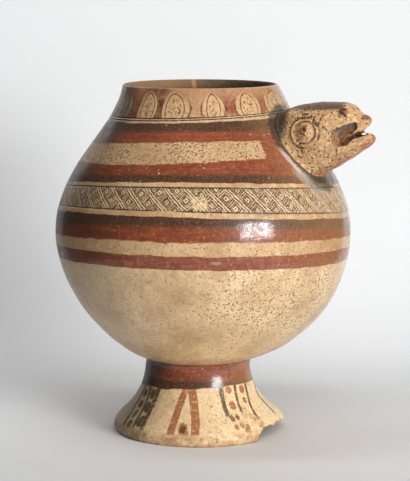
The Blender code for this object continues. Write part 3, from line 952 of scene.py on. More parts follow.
def track(tree, value, places, low, high):
    """A curve through (value, result) places; both run from low to high."""
    spread = high - low
    share = add(tree, "Math.MULTIPLY_ADD", value, 1 / spread[0], -low[0] / spread[0])
    node = add(tree, "FloatCurve", 1.0, share).node
    curve = node.mapping.curves[0]
    points = [tuple((np.array(place) - low) / spread) for place in sorted(places)]
    curve.points[0].location, curve.points[1].location = points[0], points[-1]
    for point in points[1:-1]:
        curve.points.new(*point)
    node.mapping.update()
    return add(tree, "Math.MULTIPLY_ADD", node.outputs[0], spread[1], low[1])


def ovals(tree, azimuth, height, place, rough, scribble):
    """Arched ovals under the rim, each in an outline of its own, between red panels.
    Gives the masks of the lines, the panels and the ovals' insides."""
    half = OVALS_ROUND / 2
    turns = track(tree, azimuth, OVAL_TURNS, np.array([-180, -half]), np.array([180, half]))
    turns = add(tree, "Math.MULTIPLY_ADD", rough, 0.05, turns)
    share = add(tree, "Math.SUBTRACT", turns, add(tree, "Math.ROUND", turns))
    up = add(tree, "Math.SUBTRACT", height, OVAL_HEIGHT)
    reach = []
    for half_sizes in (OVAL_INNER, OVAL_OUTER):
        at = add(tree, "CombineXYZ", share, up)
        at = add(tree, "VectorMath.DIVIDE", at, (*half_sizes, 1.0))
        reach.append(add(tree, "VectorMath.LENGTH", at).node.outputs["Value"])
    inner, outer = reach
    inner_line = near(tree, inner, 1.0, 0.055, 0.03)
    sides = add(tree, "MapRange", up, 2.0, 7.0, 1.0, 0.15)
    outer_line = all_of(tree, near(tree, outer, 1.0, 0.045, 0.025), sides)
    within = near(tree, inner, 0.0, 0.72, 0.06)
    curls = near(tree, scribble, 0.5, 0.03, 0.012)
    drawn = all_of(tree, any_of(tree, curls, specks(tree, place, OVAL_DOT_GAP, 0.75, 0.36)), within)
    zone = above(tree, height, COLLAR_FROM, 0.1)
    red = all_of(tree, above(tree, outer, 1.0, 0.05), zone)
    inside = all_of(tree, near(tree, inner, 0.0, 1.0, 0.04), zone)
    return all_of(tree, any_of(tree, inner_line, outer_line, drawn), zone), red, inside


def foot_marks(tree, azimuth, height, radius, rough):
    """Bars, a V and rows of dots painted down the foot. Gives one mask a slip."""
    masks = {"clay": [], "orange": [], "blush": [], "mark": [], "line": [], "black": []}
    low, high = np.array([0, -180]), np.array([FOOT_HEIGHT, 180])
    for slip, width, places in FOOT_MARKS:
        middle = track(tree, height, [(up, az) for az, up in places], low, high)
        off = all_of(tree, add(tree, "Math.SUBTRACT", azimuth, middle), radius, math.pi / 180)
        off = add(tree, "Math.MULTIPLY_ADD", rough, 0.6, add(tree, "Math.ABSOLUTE", off))
        bar = add(tree, "MapRange", off, width / 2 + 0.2, width / 2 + 0.7, 1.0, 0.0)
        ends = between(tree, height, places[-1][1], places[0][1] + 1.5, 1.6, 0.8)
        masks[slip].append(all_of(tree, bar, ends))
    for slip, size, places in FOOT_DOTS:
        for az, at in places:
            off = all_of(tree, add(tree, "Math.SUBTRACT", azimuth, az), radius, math.pi / 180)
            reach = distance(tree, off, add(tree, "Math.SUBTRACT", height, at))
            dot = add(tree, "Math.MULTIPLY_ADD", rough, 0.8, reach)
            masks[slip].append(add(tree, "MapRange", dot, size + 0.3, size + 0.9, 1.0, 0.0))
    return {slip: any_of(tree, *found) for slip, found in masks.items()}


def band_mask(tree, height, slip):
    """Where the red or the black slip was laid."""
    return any_of(tree, *(
        between(tree, height, EDGE[low], EDGE[high], soft_low, soft_high)
        for name, low, high, soft_low, soft_high in BANDS if name == slip
    ))


def burnished_slip(settings):
    """Low-fired earthenware under clay slips rubbed with a pebble: a soft gloss with
    the rubbing's streaks, slip worn thin at its edges, pits of burnt-out grit."""
    material, tree, shader = new_material("burnished_slip_earthenware")
    azimuth, height, belt = turned_place(tree)
    place = add(tree, "VectorMath.SCALE", add(tree, "TexCoord").node.outputs["Object"])
    place.node.inputs["Scale"].default_value = 1 / MM
    flat = add(tree, "VectorMath.MULTIPLY", place, (1.0, 1.0, 0.0))
    from_axis = add(tree, "VectorMath.SUBTRACT", flat, (AXIS_X, 0.0, 0.0))
    radius = add(tree, "VectorMath.LENGTH", from_axis).node.outputs["Value"]
    outer, broken, head_gap, head_turn = (
        add(tree, "Attribute", attribute_name=name).node.outputs["Fac"]
        for name in ("outer", "broken", "head_gap", "head_turn")
    )
    broad, slow, blotch, rough, grain, scribble, grit = patches(tree, place, *SLIP_PATCHES)
    drawn = add(tree, "VectorMath.MULTIPLY", place, STREAK_SHARE)
    streaks = add(tree, "TexNoise", drawn, None, 1.0, 5.0, 0.65)
    waver = add(tree, "Math.MULTIPLY_ADD", slow, 2.4, -1.2)
    waver = add(tree, "Math.ADD", waver, add(tree, "Math.MULTIPLY_ADD", rough, 0.6, -0.3))
    ragged = add(tree, "Math.SUBTRACT", rough, 0.5)
    edge_height = add(tree, "Math.ADD", height, waver)
    lip_height = add(tree, "Math.ADD", height, add(tree, "Math.MULTIPLY_ADD", slow, 5.0, -2.5))
    side = add(tree, "SeparateXYZ", belt)
    # Painted light: slips and cut lines turn paler towards the right, where the softbox lights the
    # vase.
    painted_light_right = add(tree, "MapRange", side, *LIGHT_RIGHT_SIDE, 0.0, 0.5)

    # The cream ground, stained by the firing and rubbed pale.
    cream = add(
        tree, "MixRGB", add(tree, "MapRange", broad, 0.3, 0.7), settings.cream, settings.pale
    )
    on_foot = between(tree, height, 0.0, FOOT_HEIGHT - 1, 1.0, 0.5)
    upper = all_of(tree, above(tree, height, EDGE["stripe_top"] - 2, 1.0), 0.5)
    stain = add(tree, "MapRange", slow, 0.47, 0.72, 0.0, 0.5)
    stain = all_of(tree, stain, add(tree, "MapRange", blotch, 0.35, 0.65, 0.3, 1.0))
    rubbed = add(tree, "MapRange", blotch, 0.52, 0.7, 0.0, 0.55)
    colour = laid(
        tree, cream, (settings.pale, on_foot), (settings.clay, upper),
        (settings.blush, stain), (settings.pale, rubbed),
    )

    # Red and black bands, and the cream panel left between them.
    red, black = (band_mask(tree, edge_height, slip) for slip in ("red", "black"))
    thin = add(tree, "MapRange", streaks, 0.42, 0.7)
    red_slip = laid(
        tree, add(tree, "MixRGB", thin, settings.red, settings.orange),
        (settings.mark, add(tree, "MapRange", blotch, 0.45, 0.66, 0.0, 0.6)),
        (settings.blush, add(tree, "MapRange", rough, 0.52, 0.72, 0.0, 0.4)),
        (settings.clay, painted_light_right, 0.8),
    )
    panel = between(tree, edge_height, EDGE["panel_low"], EDGE["panel_top"], 0.35, 0.35)
    from_head = add(tree, "Math.SUBTRACT", azimuth, HEAD_AZIMUTH_DEG)
    from_head = add(tree, "Math.ABSOLUTE", from_head)
    from_head = add(tree, "Math.ADD", from_head, all_of(tree, waver, 0.8))
    panel = all_of(tree, panel, above(tree, from_head, PANEL_FROM_HEAD_DEG, 0.5))
    panel_slip = laid(tree, cream, (settings.clay, upper, 0.9), (settings.blush, stain))
    streaked = add(tree, "MapRange", streaks, 0.4, 0.75, 0.0, 0.45)
    black_slip = laid(
        tree, add(tree, "MixRGB", streaked, settings.black, settings.mark),
        (settings.clay, painted_light_right, 0.9),
        (settings.clay, add(tree, "MapRange", grain, 0.5, 0.72, 0.0, 0.4)),
    )
    colour = laid(
        tree, colour,
        (red_slip, red, add(tree, "MapRange", rough, 0.64, 0.74, 1.0, 0.45)),
        (panel_slip, panel),
        (black_slip, black, add(tree, "MapRange", rough, 0.6, 0.76, 0.97, 0.5)),
    )

    # Bare clay at the foot's lip, in the stain colour towards the left as painted shade; painted
    # shade along the crease under the body; and the scar on the stripe.
    bare_foot = between(tree, lip_height, -9.0, FOOT_SLIP_FROM, 0.1, 2.5)
    bare_foot = all_of(tree, bare_foot, add(tree, "MapRange", blotch, 0.35, 0.62, 0.15, 0.9))
    # Painted shade: the bare clay takes the darker stain colour towards the shaded left.
    lit_side = add(tree, "MapRange", side, -60.0, 10.0, 0.8, 0.1)
    bare_clay = add(tree, "MixRGB", lit_side, settings.clay, settings.blush)
    # Painted shade: a dark line in the crease where the body meets the stem.
    crease = near(tree, height, FOOT_HEIGHT, 0.7, 0.5)
    scar = patch_mask(tree, azimuth, height, slow, *SCAR, 0.3)
    colour = laid(
        tree, colour,
        (bare_clay, bare_foot), (settings.line, crease, 0.6), (settings.clay, scar, 0.8),
    )

    marks = foot_marks(tree, azimuth, height, radius, ragged)
    marks["clay"] = all_of(tree, marks["clay"], add(tree, "MapRange", blotch, 0.35, 0.65))
    whole = add(tree, "MapRange", rough, 0.52, 0.72, 0.88, 0.3)
    whole = all_of(tree, whole, none_of(tree, any_of(tree, black, red)))
    whole = all_of(tree, whole, above(tree, lip_height, FOOT_SLIP_FROM, 1.0))
    colour = laid(tree, colour, *((getattr(settings, slip), marks[slip], whole) for slip in marks))

    # The lattice belt, the ovals and every line cut through the slip.
    cut, cells = lattice_lines(tree, azimuth, height, belt)
    ground = between(tree, height, EDGE["lattice_low"], EDGE["lattice_top"], 0.3, 0.3)
    oval_lines, oval_panel, oval_inside = ovals(tree, azimuth, height, place, ragged, scribble)
    on_collar = above(tree, edge_height, COLLAR_FROM, 0.2)
    rim_clay = add(tree, "MapRange", edge_height, *RIM_CLAY, 0.15, 0.6)
    mottled = add(tree, "MapRange", blotch, 0.35, 0.65, 0.45, 1.2)
    colour = laid(
        tree, colour, (settings.pale, ground, 0.75), (settings.orange, cells, 0.3),
        (settings.blush, rim_clay, on_collar, mottled),
    )
    wine = all_of(tree, near(tree, azimuth, *WINE_PANEL), 0.9)
    wine_red = add(tree, "MixRGB", 0.5, settings.mark, settings.line)
    oval_slip = laid(
        tree, red_slip, (colour, near(tree, azimuth, *WORN_PANEL), 0.7), (wine_red, wine)
    )
    top_wear = any_of(tree, add(tree, "MapRange", edge_height, *PANEL_WEAR, 1.0, 0.3), wine)
    panel_wear = add(tree, "MapRange", blotch, 0.4, 0.65, 1.0, 0.5)
    grooves = any_of(tree, *(near(tree, height, at, GROOVE_DIRT_HALF, 0.2) for at in GROOVES))
    lost = near(tree, azimuth, *LINE_GAP_DEG, 1.5)
    lost = all_of(tree, lost, near(tree, height, EDGE["lattice_low"], 1.5, 0.5))
    grooves = add(tree, "Math.SUBTRACT", grooves, lost, use_clamp=True)
    oval_lines = all_of(tree, oval_lines, on_collar, 0.8)
    all_lines = all_of(tree, any_of(tree, cut, oval_lines, grooves), outer)
    kept = add(tree, "MapRange", rough, 0.45, 0.7, 1.0, 0.6)
    kept = add(tree, "Math.MULTIPLY_ADD", painted_light_right, -0.6, kept)
    colour = laid(
        tree, colour, (oval_slip, oval_panel, top_wear, panel_wear),
        (settings.cream, oval_inside, 0.4), (settings.line, all_lines, kept),
    )

    # Soot, soil and scraped clay round the head's root.
    gap = add(tree, "Math.ADD", head_gap, add(tree, "Math.MULTIPLY_ADD", rough, 5.0, -2.5))
    halo = add(tree, "MapRange", gap, 0.5, 3.0, 0.75, 0.0, **SMOOTH)
    dusted = near(tree, gap, 3.0, 4.5, 2.5)
    dust = add(tree, "MixRGB", slow, settings.soot_and_shade, settings.lime)
    scraped = near(tree, gap, 1.2, 2.0, 1.2)
    colour = laid(
        tree, colour, (settings.soot_and_shade, halo),
        (dust, dusted, near(tree, head_turn, *DUSTED_TURN_DEG), 0.75),
        (settings.lime, scraped, near(tree, head_turn, *SCRAPED_TURN_DEG), 0.8),
    )

    # Smoke of the firing, darker on the slips; on the left side, the stem and the foot it is also
    # painted shade, away from the softbox's light.
    cloud, smoke_and_shade, stem_smoke_and_shade, foot_smoke_and_shade = (
        patch_mask(tree, azimuth, height, slow, *place_and_size, soft)
        for *place_and_size, soft in (
            (*FIRE_CLOUD, 0.9), (*SMOKED_AND_SHADED_SIDE, 0.9), (*SMOKED_AND_SHADED_STEM, 0.5), (*SMOKED_AND_SHADED_FOOT, 0.7)
        )
    )
    on_slip = all_of(tree, any_of(tree, red, black), none_of(tree, panel))
    smoke_and_shade = any_of(
        tree, all_of(tree, smoke_and_shade, add(tree, "Math.MULTIPLY_ADD", on_slip, 0.3, 0.35)),
        all_of(tree, stem_smoke_and_shade, on_slip, 0.85), all_of(tree, foot_smoke_and_shade, on_foot, 0.6),
    )
    colour = laid(tree, colour, (settings.soot_and_shade, cloud, 0.8), (settings.soot_and_shade, smoke_and_shade))

    # Pits of burnt-out grit, crowded low on the right, and flecks of lime on the slips.
    crowd = add(tree, "MapRange", broad, 0.4, 0.65, 0.05, 0.45)
    right_low = patch_mask(tree, azimuth, height, slow, *PITTED, 0.8)
    crowd = add(tree, "Math.MULTIPLY_ADD", right_low, 0.6, crowd)
    crowd = add(tree, "Math.MULTIPLY_ADD", panel, 0.75, crowd)
    crowd = all_of(tree, crowd, none_of(tree, all_of(tree, on_slip, 0.7)))
    grit = add(tree, "Math.MULTIPLY_ADD", crowd, 0.14, grit)
    large_pit = specks(tree, place, LARGE_PIT_GAP, all_of(tree, crowd, 0.5), 0.2)
    pit = any_of(tree, add(tree, "MapRange", grit, 0.67, 0.73), large_pit)
    fleck = specks(tree, place, FLECK_GAP, 0.35, 0.12)
    colour = laid(tree, colour, (settings.line, pit, 0.72), (settings.lime, fleck, on_slip, 0.65))

    relief = add(tree, "Math.MULTIPLY_ADD", grain, 0.25, all_of(tree, rough, 0.5))
    for sunk in (pit, all_lines):
        relief = add(tree, "Math.SUBTRACT", relief, all_of(tree, sunk, 1.2))
    relief = add(tree, "Math.MULTIPLY_ADD", streaks, 0.35, relief)
    tones = (grain, 0.78, 1.18), (rough, 0.84, 1.14), (broad, 0.9, 1.08)
    toned, bump = finish_skin(tree, shader, colour, tones, relief, 0.5, RELIEF_DEPTH)

    # The inside, darkened towards the soot colour as painted shade, most at the right, and the
    # fresh clay of the foot's break.
    inside_shade = add(tree, "MapRange", side, -50.0, 50.0, 0.55, 0.92)
    inside_shade = all_of(tree, inside_shade, add(tree, "MapRange", rough, 0.3, 0.7, 0.85, 1.1))
    notch = near(tree, azimuth, *RIM_NOTCH_DEG, 0.8)
    within = laid(
        tree, add(tree, "MixRGB", inside_shade, settings.clay, settings.soot_and_shade),
        (settings.clay, notch, above(tree, height, NOTCH_FROM, 2.0), 0.6), (toned, outer),
        (add(tree, "MixRGB", grain, settings.clay, settings.cream), broken),
    )
    tree.links.new(within, shader.inputs["Base Color"])

    gloss = add(tree, "MapRange", rough, 0.3, 0.75, 0.36, 0.58)
    dull = any_of(tree, broken, none_of(tree, outer))
    gloss = any_of(tree, gloss, all_of(tree, dull, 0.85))
    tree.links.new(gloss, shader.inputs["Roughness"])
    rubbing = all_of(
        tree, add(tree, "MapRange", blotch, 0.42, 0.6, 0.95, 0.3),
        add(tree, "MapRange", height, 4.0, 80.0, 0.2, 1.0),
        add(tree, "MapRange", side, *SHINE_SIDE, 0.45, 1.0),
        none_of(tree, any_of(tree, pit, dull)),
    )
    tree.links.new(rubbing, shader.inputs["Coat Weight"])
    tree.links.new(bump, shader.inputs["Coat Normal"])
    for name, value in BURNISH.items():
        shader.inputs[name].default_value = value
    return material


class VASE_OT_vessel(bpy.types.Operator):
    """Models the turned vessel with its cut lines and its broken foot"""

    bl_idname = "vase.vessel"
    bl_label = "Vessel"

    def execute(self, context):
        settings = context.scene.vase_vessel
        vessel = spun("vessel", vessel_section(settings), settings.around)
        uneven_and_cut(vessel.data, settings)
        shape(vessel, lip_chip(), "DIFFERENCE")
        mark_surface(vessel.data)
        shade(vessel, burnished_slip(context.scene.vase_slip))
        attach(vessel, BODY_NAME)
        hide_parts(NODE)
        return {"FINISHED"}


def head_to_world(forward, across, up):
    """From the head's frame to the vase's."""
    angle = math.radians(HEAD_AZIMUTH_DEG)
    out = HEAD_OUT + forward
    return np.stack([
        AXIS_X + out * math.sin(angle) - across * math.cos(angle),
        -out * math.cos(angle) - across * math.sin(angle),
        height_of(HEAD_STEP) + up,
    ], axis=-1)


def world_to_head(places):
    """From the vase's frame to the head's: forward, across and up."""
    angle = math.radians(HEAD_AZIMUTH_DEG)
    x, y, z = places[:, 0] - AXIS_X, places[:, 1], places[:, 2]
    forward = x * math.sin(angle) - y * math.cos(angle) - HEAD_OUT
    across = -x * math.cos(angle) - y * math.sin(angle)
    return forward, across, z - height_of(HEAD_STEP)


STATIONS = np.array(fine_curve(HEAD_STATIONS, 0.8))


def head_section(forward):
    """Crown, throat, half width and squareness of the head at this place."""
    return [np.interp(forward, STATIONS[:, 0], STATIONS[:, k]) for k in (1, 2, 3, 4)]


def half_width_at(forward, up):
    crown, throat, half_width, square = head_section(forward)
    rise = (up - (crown + throat) / 2) / ((crown - throat) / 2)
    across = half_width * (1.0 - np.minimum(abs(rise), 0.999) ** square) ** (1 / square)
    return across * undercut(rise)


def undercut(rise):
    """The head's sides draw in under its middle."""
    return 1.0 - UNDERCUT * np.maximum(-rise, 0.0) ** 2


def put_head(made, forward, across, up):
    """Puts the vertices at these places of the head's frame."""
    put_vertices(made.data, head_to_world(forward, across, up) * MM)
    return outward(made)


def head_form(around=96, gap=1.2):
    """A rod drawn out to the head's sections."""
    first, last = STATIONS[[0, -1], 0]
    rings = int((last - first) / gap)
    made = drawn_up("head", around, rings)
    x, y, ring = vertices_of(made.data).T
    forward = first + (last - first) * ring / rings
    crown, throat, half_width, square = head_section(forward)
    turn = np.arctan2(y, x)
    c, s = np.cos(turn), np.sin(turn)
    rise = np.sign(s) * np.abs(s) ** (2 / square)
    across = half_width * np.sign(c) * np.abs(c) ** (2 / square)
    up = (crown + throat) / 2 + (crown - throat) / 2 * rise
    return put_head(made, forward, across * undercut(rise), up)


def bar(name, outline, across_from, across_to, inner_scale=1.0, skew=0.0):
    """A bar of this side outline across the head, narrowing to its inner end."""
    made = drawn_up(name, len(outline), 1)
    x, y, end = vertices_of(made.data).T
    corner = np.round(np.arctan2(y, x) / math.tau * len(outline)).astype(int) % len(outline)
    sides = np.array(outline)
    middle = sides.mean(axis=0)
    scale = np.where(end < 0.5, inner_scale, 1.0)[:, None]
    flat = middle + (sides[corner] - middle) * scale
    across = np.where(end < 0.5, across_from, across_to)
    return put_head(made, flat[:, 0] + skew * across, across, flat[:, 1])


def cheek_hollow(side):
    """The hollow in one cheek, sunk from the skin by its depth."""
    forward, up = np.array(MOUTH_OUTLINE).mean(axis=0)
    inner = float(half_width_at(forward, up)) - MOUTH_DEPTH
    return bar(f"cheek_hollow_{side}", MOUTH_OUTLINE, side * inner, side * CUT_REACH, MOUTH_TAPER)


def eye(side):
    made = primitive("uv_sphere", f"eye_{side}", segments=40, ring_count=24, radius=1.0)
    reach = float(half_width_at(0.0, 0.0)) - EYE_SUNK
    x, y, z = vertices_of(made.data).T
    across = side * reach + (EYE_STAND + EYE_SUNK) * y
    return put_head(made, EYE_RADIUS * x, across, EYE_RADIUS * z)


def socket(side):
    """The raised bead round the eye, lying on the side of the head."""
    made = primitive(
        "torus", f"socket_{side}", major_segments=64, minor_segments=14,
        major_radius=SOCKET_RADIUS, minor_radius=SOCKET_BEAD,
    )
    x, y, z = vertices_of(made.data).T
    reach = half_width_at(x, y) - SOCKET_SUNK + z
    return put_head(made, x, side * reach, y)


def inside_of_wall():
    """The space within the middle of the shoulder's wall, where the head stops."""
    low, high = height_of(HEAD_ROOT_FROM), RIM_FROM
    heights = np.linspace(low, high, WALL_ROWS)
    skin = [(h, float(reach_at(h)) - WALL_HIGH / 2) for h in heights]
    made = spun("inside_of_wall", [(low, 0.0), *skin, (high, 0.0)], WALL_AROUND)
    put_vertices(made.data, leaned(*turned(made.data)) * MM)
    return outward(made)


def smear_root(mesh, skirt):
    """Spreads the clay of the head's root over the shoulder, as a thumb leaves it."""
    places = vertices_of(mesh) / MM
    _, radius, height = unleaned(places)
    gap = np.maximum(radius - reach_at(height), 0)
    forward, across, up = world_to_head(places)
    crown, throat, _, _ = head_section(forward)
    off = np.stack([across, up - (crown + throat) / 2], axis=-1)
    off /= np.maximum(np.linalg.norm(off, axis=1), 1e-6)[:, None]
    push = skirt * np.exp(-gap / SMEAR_FADE)
    moved = head_to_world(forward, across + off[:, 0] * push, up + off[:, 1] * push)
    put_vertices(mesh, moved * MM)


def off_line(forward, up, one, two):
    """How far places lie from the line between two (forward, up) points."""
    (f1, u1), (run, rise) = one, np.subtract(two, one)
    share = ((forward - f1) * run + (up - u1) * rise) / max(run * run + rise * rise, 1e-6)
    share = np.clip(share, 0, 1)
    return np.hypot(forward - f1 - run * share, up - u1 - rise * share)


def stroke_weight(forward, up, places, half):
    """1 on a stroke through these (forward, up) places, fading to 0 at its edge."""
    off = [off_line(forward, up, *ends) for ends in zip(places, places[1:])]
    return eased(1 - np.min(off, axis=0) / half)


def outline_weight(forward, up, outline, soft):
    """1 inside this side outline, fading to 0 at its edge."""
    inside = np.zeros(len(forward), bool)
    ends = list(zip(outline, outline[1:] + outline[:1]))
    for (f1, u1), (f2, u2) in ends:
        at = f1 + (up - u1) * (f2 - f1) / (u2 - u1)
        inside ^= ((u1 > up) != (u2 > up)) & (forward < at)
    edge = np.min([off_line(forward, up, *pair) for pair in ends], axis=0)
    return np.where(inside, np.clip(edge / soft, 0, 1), 0.0)


def cut_face(mesh):
    """Presses the strokes, nostrils and pupils into the head, and roughens its skin."""
    places = vertices_of(mesh) / MM
    forward, across, up = world_to_head(places)
    depth = half_width_at(np.clip(forward, *STATIONS[[0, -1], 0]), up) - np.abs(across)
    outside = np.clip(1.4 - depth, 0, 1) * np.clip((np.abs(across) - 2.0) / 2, 0, 1)
    strokes = np.max(
        [deep * stroke_weight(forward, up, points, half) for half, deep, points in FACE_STROKES],
        axis=0,
    )
    mouth = outline_weight(forward, up, MOUTH_OUTLINE, MOUTH_SOFT)
    sunk = np.maximum(strokes, MOUTH_PRESS * mouth) * outside
    normals = np.empty(len(mesh.vertices) * 3, np.float32)
    mesh.vertices.foreach_get("normal", normals)
    push = lumps(places, HEAD_LUMPS) - sunk
    put_vertices(mesh, (places + normals.reshape(-1, 3) * push[:, None]) * MM)
    store(mesh, "face", "FLOAT_VECTOR", "POINT", np.stack([forward, across, up], axis=-1))
    store(mesh, "hollow", "FLOAT", "POINT", depth)
    store(mesh, "mouth", "FLOAT", "POINT", mouth * (np.abs(across) > 3))
    store(mesh, "cut", "FLOAT", "POINT", np.clip(strokes * outside / 0.35, 0, 1))


def speckled_clay(settings):
    """Buff clay of the head, rubbed less than the vessel and full of dark grit, with smoke on its
    crown, smoke and painted shade where it joins the shoulder, and painted shade in the roof of its
    cheek hollow and in its jaw slit."""
    material, tree, shader = new_material("speckled_buff_clay")
    place = add(tree, "Attribute", attribute_name="face").node.outputs["Vector"]
    split = add(tree, "SeparateXYZ", place).node.outputs
    forward, up = split["X"], split["Z"]
    hollow, mouth, cut = (
        add(tree, "Attribute", attribute_name=name).node.outputs["Fac"]
        for name in ("hollow", "mouth", "cut")
    )
    broad, rough, grain, grit = patches(tree, place, *HEAD_PATCHES)
    waver = add(tree, "Math.MULTIPLY_ADD", broad, 9.0, -4.5)
    waver = add(tree, "Math.ADD", waver, add(tree, "Math.MULTIPLY_ADD", rough, 5.0, -2.5))
    wavy_forward = add(tree, "Math.ADD", forward, waver)

    paler = add(tree, "MapRange", broad, 0.35, 0.65)
    clay = add(tree, "MixRGB", paler, settings.clay, settings.cream)
    under_line = add(tree, "Math.MULTIPLY_ADD", forward, THROAT_SLOPE, up)
    under_line = add(tree, "Math.ADD", under_line, waver)
    smoke = add(tree, "MixRGB", broad, settings.mark, settings.soot_and_shade)
    crown = above(tree, add(tree, "Math.MULTIPLY_ADD", waver, 0.6, up), CROWN_FROM, 1.2)
    # Smoke and painted shade darken the head's rear, where it joins the shoulder.
    root = add(tree, "Math.ADD", forward, all_of(tree, waver, 0.6))
    root = add(tree, "MapRange", root, *ROOT_SOOT_AND_SHADE, 0.95, 0.0, **SMOOTH)
    colour = laid(
        tree, clay,
        (settings.orange, add(tree, "MapRange", under_line, *THROAT_FADE, 0.6, 0.0)),
        (settings.orange, above(tree, wavy_forward, TIPS_FROM, 3.0), 0.4),
        (settings.pale, add(tree, "MapRange", rough, 0.5, 0.7, 0.0, 0.6)),
        (smoke, crown, near(tree, wavy_forward, *CROWN_SPAN, 2.0), 0.9),
        (smoke, patch(tree, forward, up, waver, *NOSTRIL), 0.7),
        (settings.mark, patch(tree, forward, up, waver, *BILL_SPOT), 0.75),
        (settings.soot_and_shade, root, add(tree, "MapRange", up, *ROOT_SOOT_AND_SHADE_RISE)),
    )

    # The hollow of the cheek: painted shade under its roof, over the gum, and painted shade in the
    # slit of the jaw.
    mouth = above(tree, mouth, 0.15, 0.12)
    in_cheek = all_of(tree, above(tree, hollow, 1.6, 0.6), near(tree, forward, *CHEEK_SPAN, 1.0))
    roof_shade = above(tree, add(tree, "Math.MULTIPLY_ADD", forward, ROOF_SLOPE, up), ROOF_AT, 0.9)
    gum = add(tree, "MixRGB", rough, settings.mark, settings.clay)
    roof_shade_colour = add(tree, "MixRGB", 0.3, smoke, settings.lime)
    slit_shade = near(tree, add(tree, "Math.MULTIPLY_ADD", forward, SLIT_SLOPE, up), *SLIT_AT, 0.4)
    colour = laid(
        tree, colour,
        (add(tree, "MixRGB", roof_shade, gum, roof_shade_colour), any_of(tree, in_cheek, mouth), 0.85),
        (settings.soot_and_shade, slit_shade, between(tree, forward, *SLIT_SPAN, 0.6, 1.0), 0.95),
        (settings.mark, patch(tree, forward, up, waver, *PUPIL), 0.8),
    )

    eye_reach = add(tree, "Math.MULTIPLY_ADD", waver, 0.3, distance(tree, forward, up))
    rings = any_of(tree, *(near(tree, eye_reach, *ring, 0.4) for ring in EYE_LINES))
    rings = all_of(tree, rings, add(tree, "MapRange", broad, 0.4, 0.56))
    crowd = add(tree, "MapRange", broad, 0.35, 0.6, 0.5, 1.0)
    crowd = all_of(tree, crowd, add(tree, "MapRange", forward, 26.0, 38.0, 1.0, 0.4))
    grit = add(tree, "MapRange", add(tree, "Math.MULTIPLY_ADD", crowd, 0.1, grit), 0.66, 0.71)
    grit = any_of(tree, grit, specks(tree, place, HEAD_PIT_GAP, crowd, 0.3))
    colour = laid(
        tree, colour, (settings.line, any_of(tree, cut, rings)), (settings.line, grit, 0.82)
    )

    relief = add(tree, "Math.MULTIPLY_ADD", grain, 0.3, all_of(tree, rough, 0.7))
    relief = add(tree, "Math.SUBTRACT", relief, all_of(tree, grit, 1.2))
    tones = (grain, 0.76, 1.26), (rough, 0.84, 1.22)
    toned, _ = finish_skin(tree, shader, colour, tones, relief, 0.6, 2 * RELIEF_DEPTH)
    tree.links.new(toned, shader.inputs["Base Color"])
    gloss = add(tree, "MapRange", rough, 0.3, 0.75, 0.34, 0.58)
    tree.links.new(gloss, shader.inputs["Roughness"])
    return material


class VASE_OT_head(bpy.types.Operator):
    """Models the animal head that is pressed onto the right shoulder"""

    bl_idname = "vase.head"
    bl_label = "Head"

    def execute(self, context):
        settings = context.scene.vase_head
        head = head_form()
        for side in (1, -1):
            shape(head, cheek_hollow(side), "DIFFERENCE")
        shape(head, bar("jaw_slit", JAW_SLIT, -CUT_REACH, CUT_REACH), "DIFFERENCE")
        gape = bar("jaw_gape", JAW_GAPE, -CUT_REACH, CUT_REACH, skew=GAPE_SKEW)
        shape(head, gape, "DIFFERENCE")
        for side in (1, -1):
            shape(head, socket(side), "UNION")
            shape(head, eye(side), "UNION")
        shape(head, inside_of_wall(), "DIFFERENCE")
        apply_modifier(head, "REMESH", mode="VOXEL", voxel_size=settings.voxel)
        apply_modifier(head, "SMOOTH", factor=0.5, iterations=3)
        smear_root(head.data, settings.skirt / MM)
        cut_face(head.data)
        shade(head, speckled_clay(context.scene.vase_slip))
        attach(head, BODY_NAME)
        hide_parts(NODE)
        return {"FINISHED"}


# The stage's lengths are metres.
SWEEP_HALF, SWEEP_FRONT, SWEEP_BACK, SWEEP_TOP = 0.45, -0.75, 0.38, 1.2
SWEEP_BEND = 0.18
LIGHTS = (
    # name, place, size, watts, what it faces
    ("softbox", (1.397, -1.665, 0.494), (0.9, 0.62), 44.0, (0.0, 0.0, 0.15)),
    ("overhead", (0.3, -0.9, 1.1), (0.9, 0.9), 6.6, (0.0, -0.1, 0.05)),
    ("backdrop_light", (-0.4, -0.15, 1.0), (1.0, 0.25), 3.7, (-0.4, 0.38, 0.62)),
)
WORLD_STRENGTH = 0.02
CAMERA_PLACE = (AXIS_X * MM + 0.00152, -1.140, 0.2815)
CAMERA_DOWN_DEG = 6.8
FOCAL_PIXELS, IMAGE_HEIGHT = 1500, 481


def paper(settings):
    """Matt background paper: no sheen, so the floor's light fades evenly up the sweep.
    Its back is clear, so that a camera behind it or under it sees the vase."""
    material, tree, shader = new_material("matt_paper")
    shader.inputs["Base Color"].default_value = (*settings.paper, 1.0)
    shader.inputs["Roughness"].default_value = 0.9
    clear = add(tree, "BsdfTransparent")
    seen_from_back = add(tree, "NewGeometry").node.outputs["Backfacing"]
    front_or_back = add(tree, "MixShader", seen_from_back, shader.outputs[0], clear)
    tree.links.new(front_or_back, tree.nodes["Material Output"].inputs["Surface"])
    return material


def edit_back_edge(sweep, operation, **settings):
    """Does this to the sweep's back edge at the floor."""
    mode("EDIT")
    bpy.ops.mesh.select_mode(type="EDGE")
    select("DESELECT")
    mode("OBJECT")
    for edge in sweep.data.edges:
        ends = [sweep.data.vertices[v].co for v in edge.vertices]
        edge.select = all(p.y > SWEEP_BACK - 0.01 and p.z < 0.01 for p in ends)
    mode("EDIT")
    getattr(bpy.ops.mesh, operation)(**settings)
    mode("OBJECT")


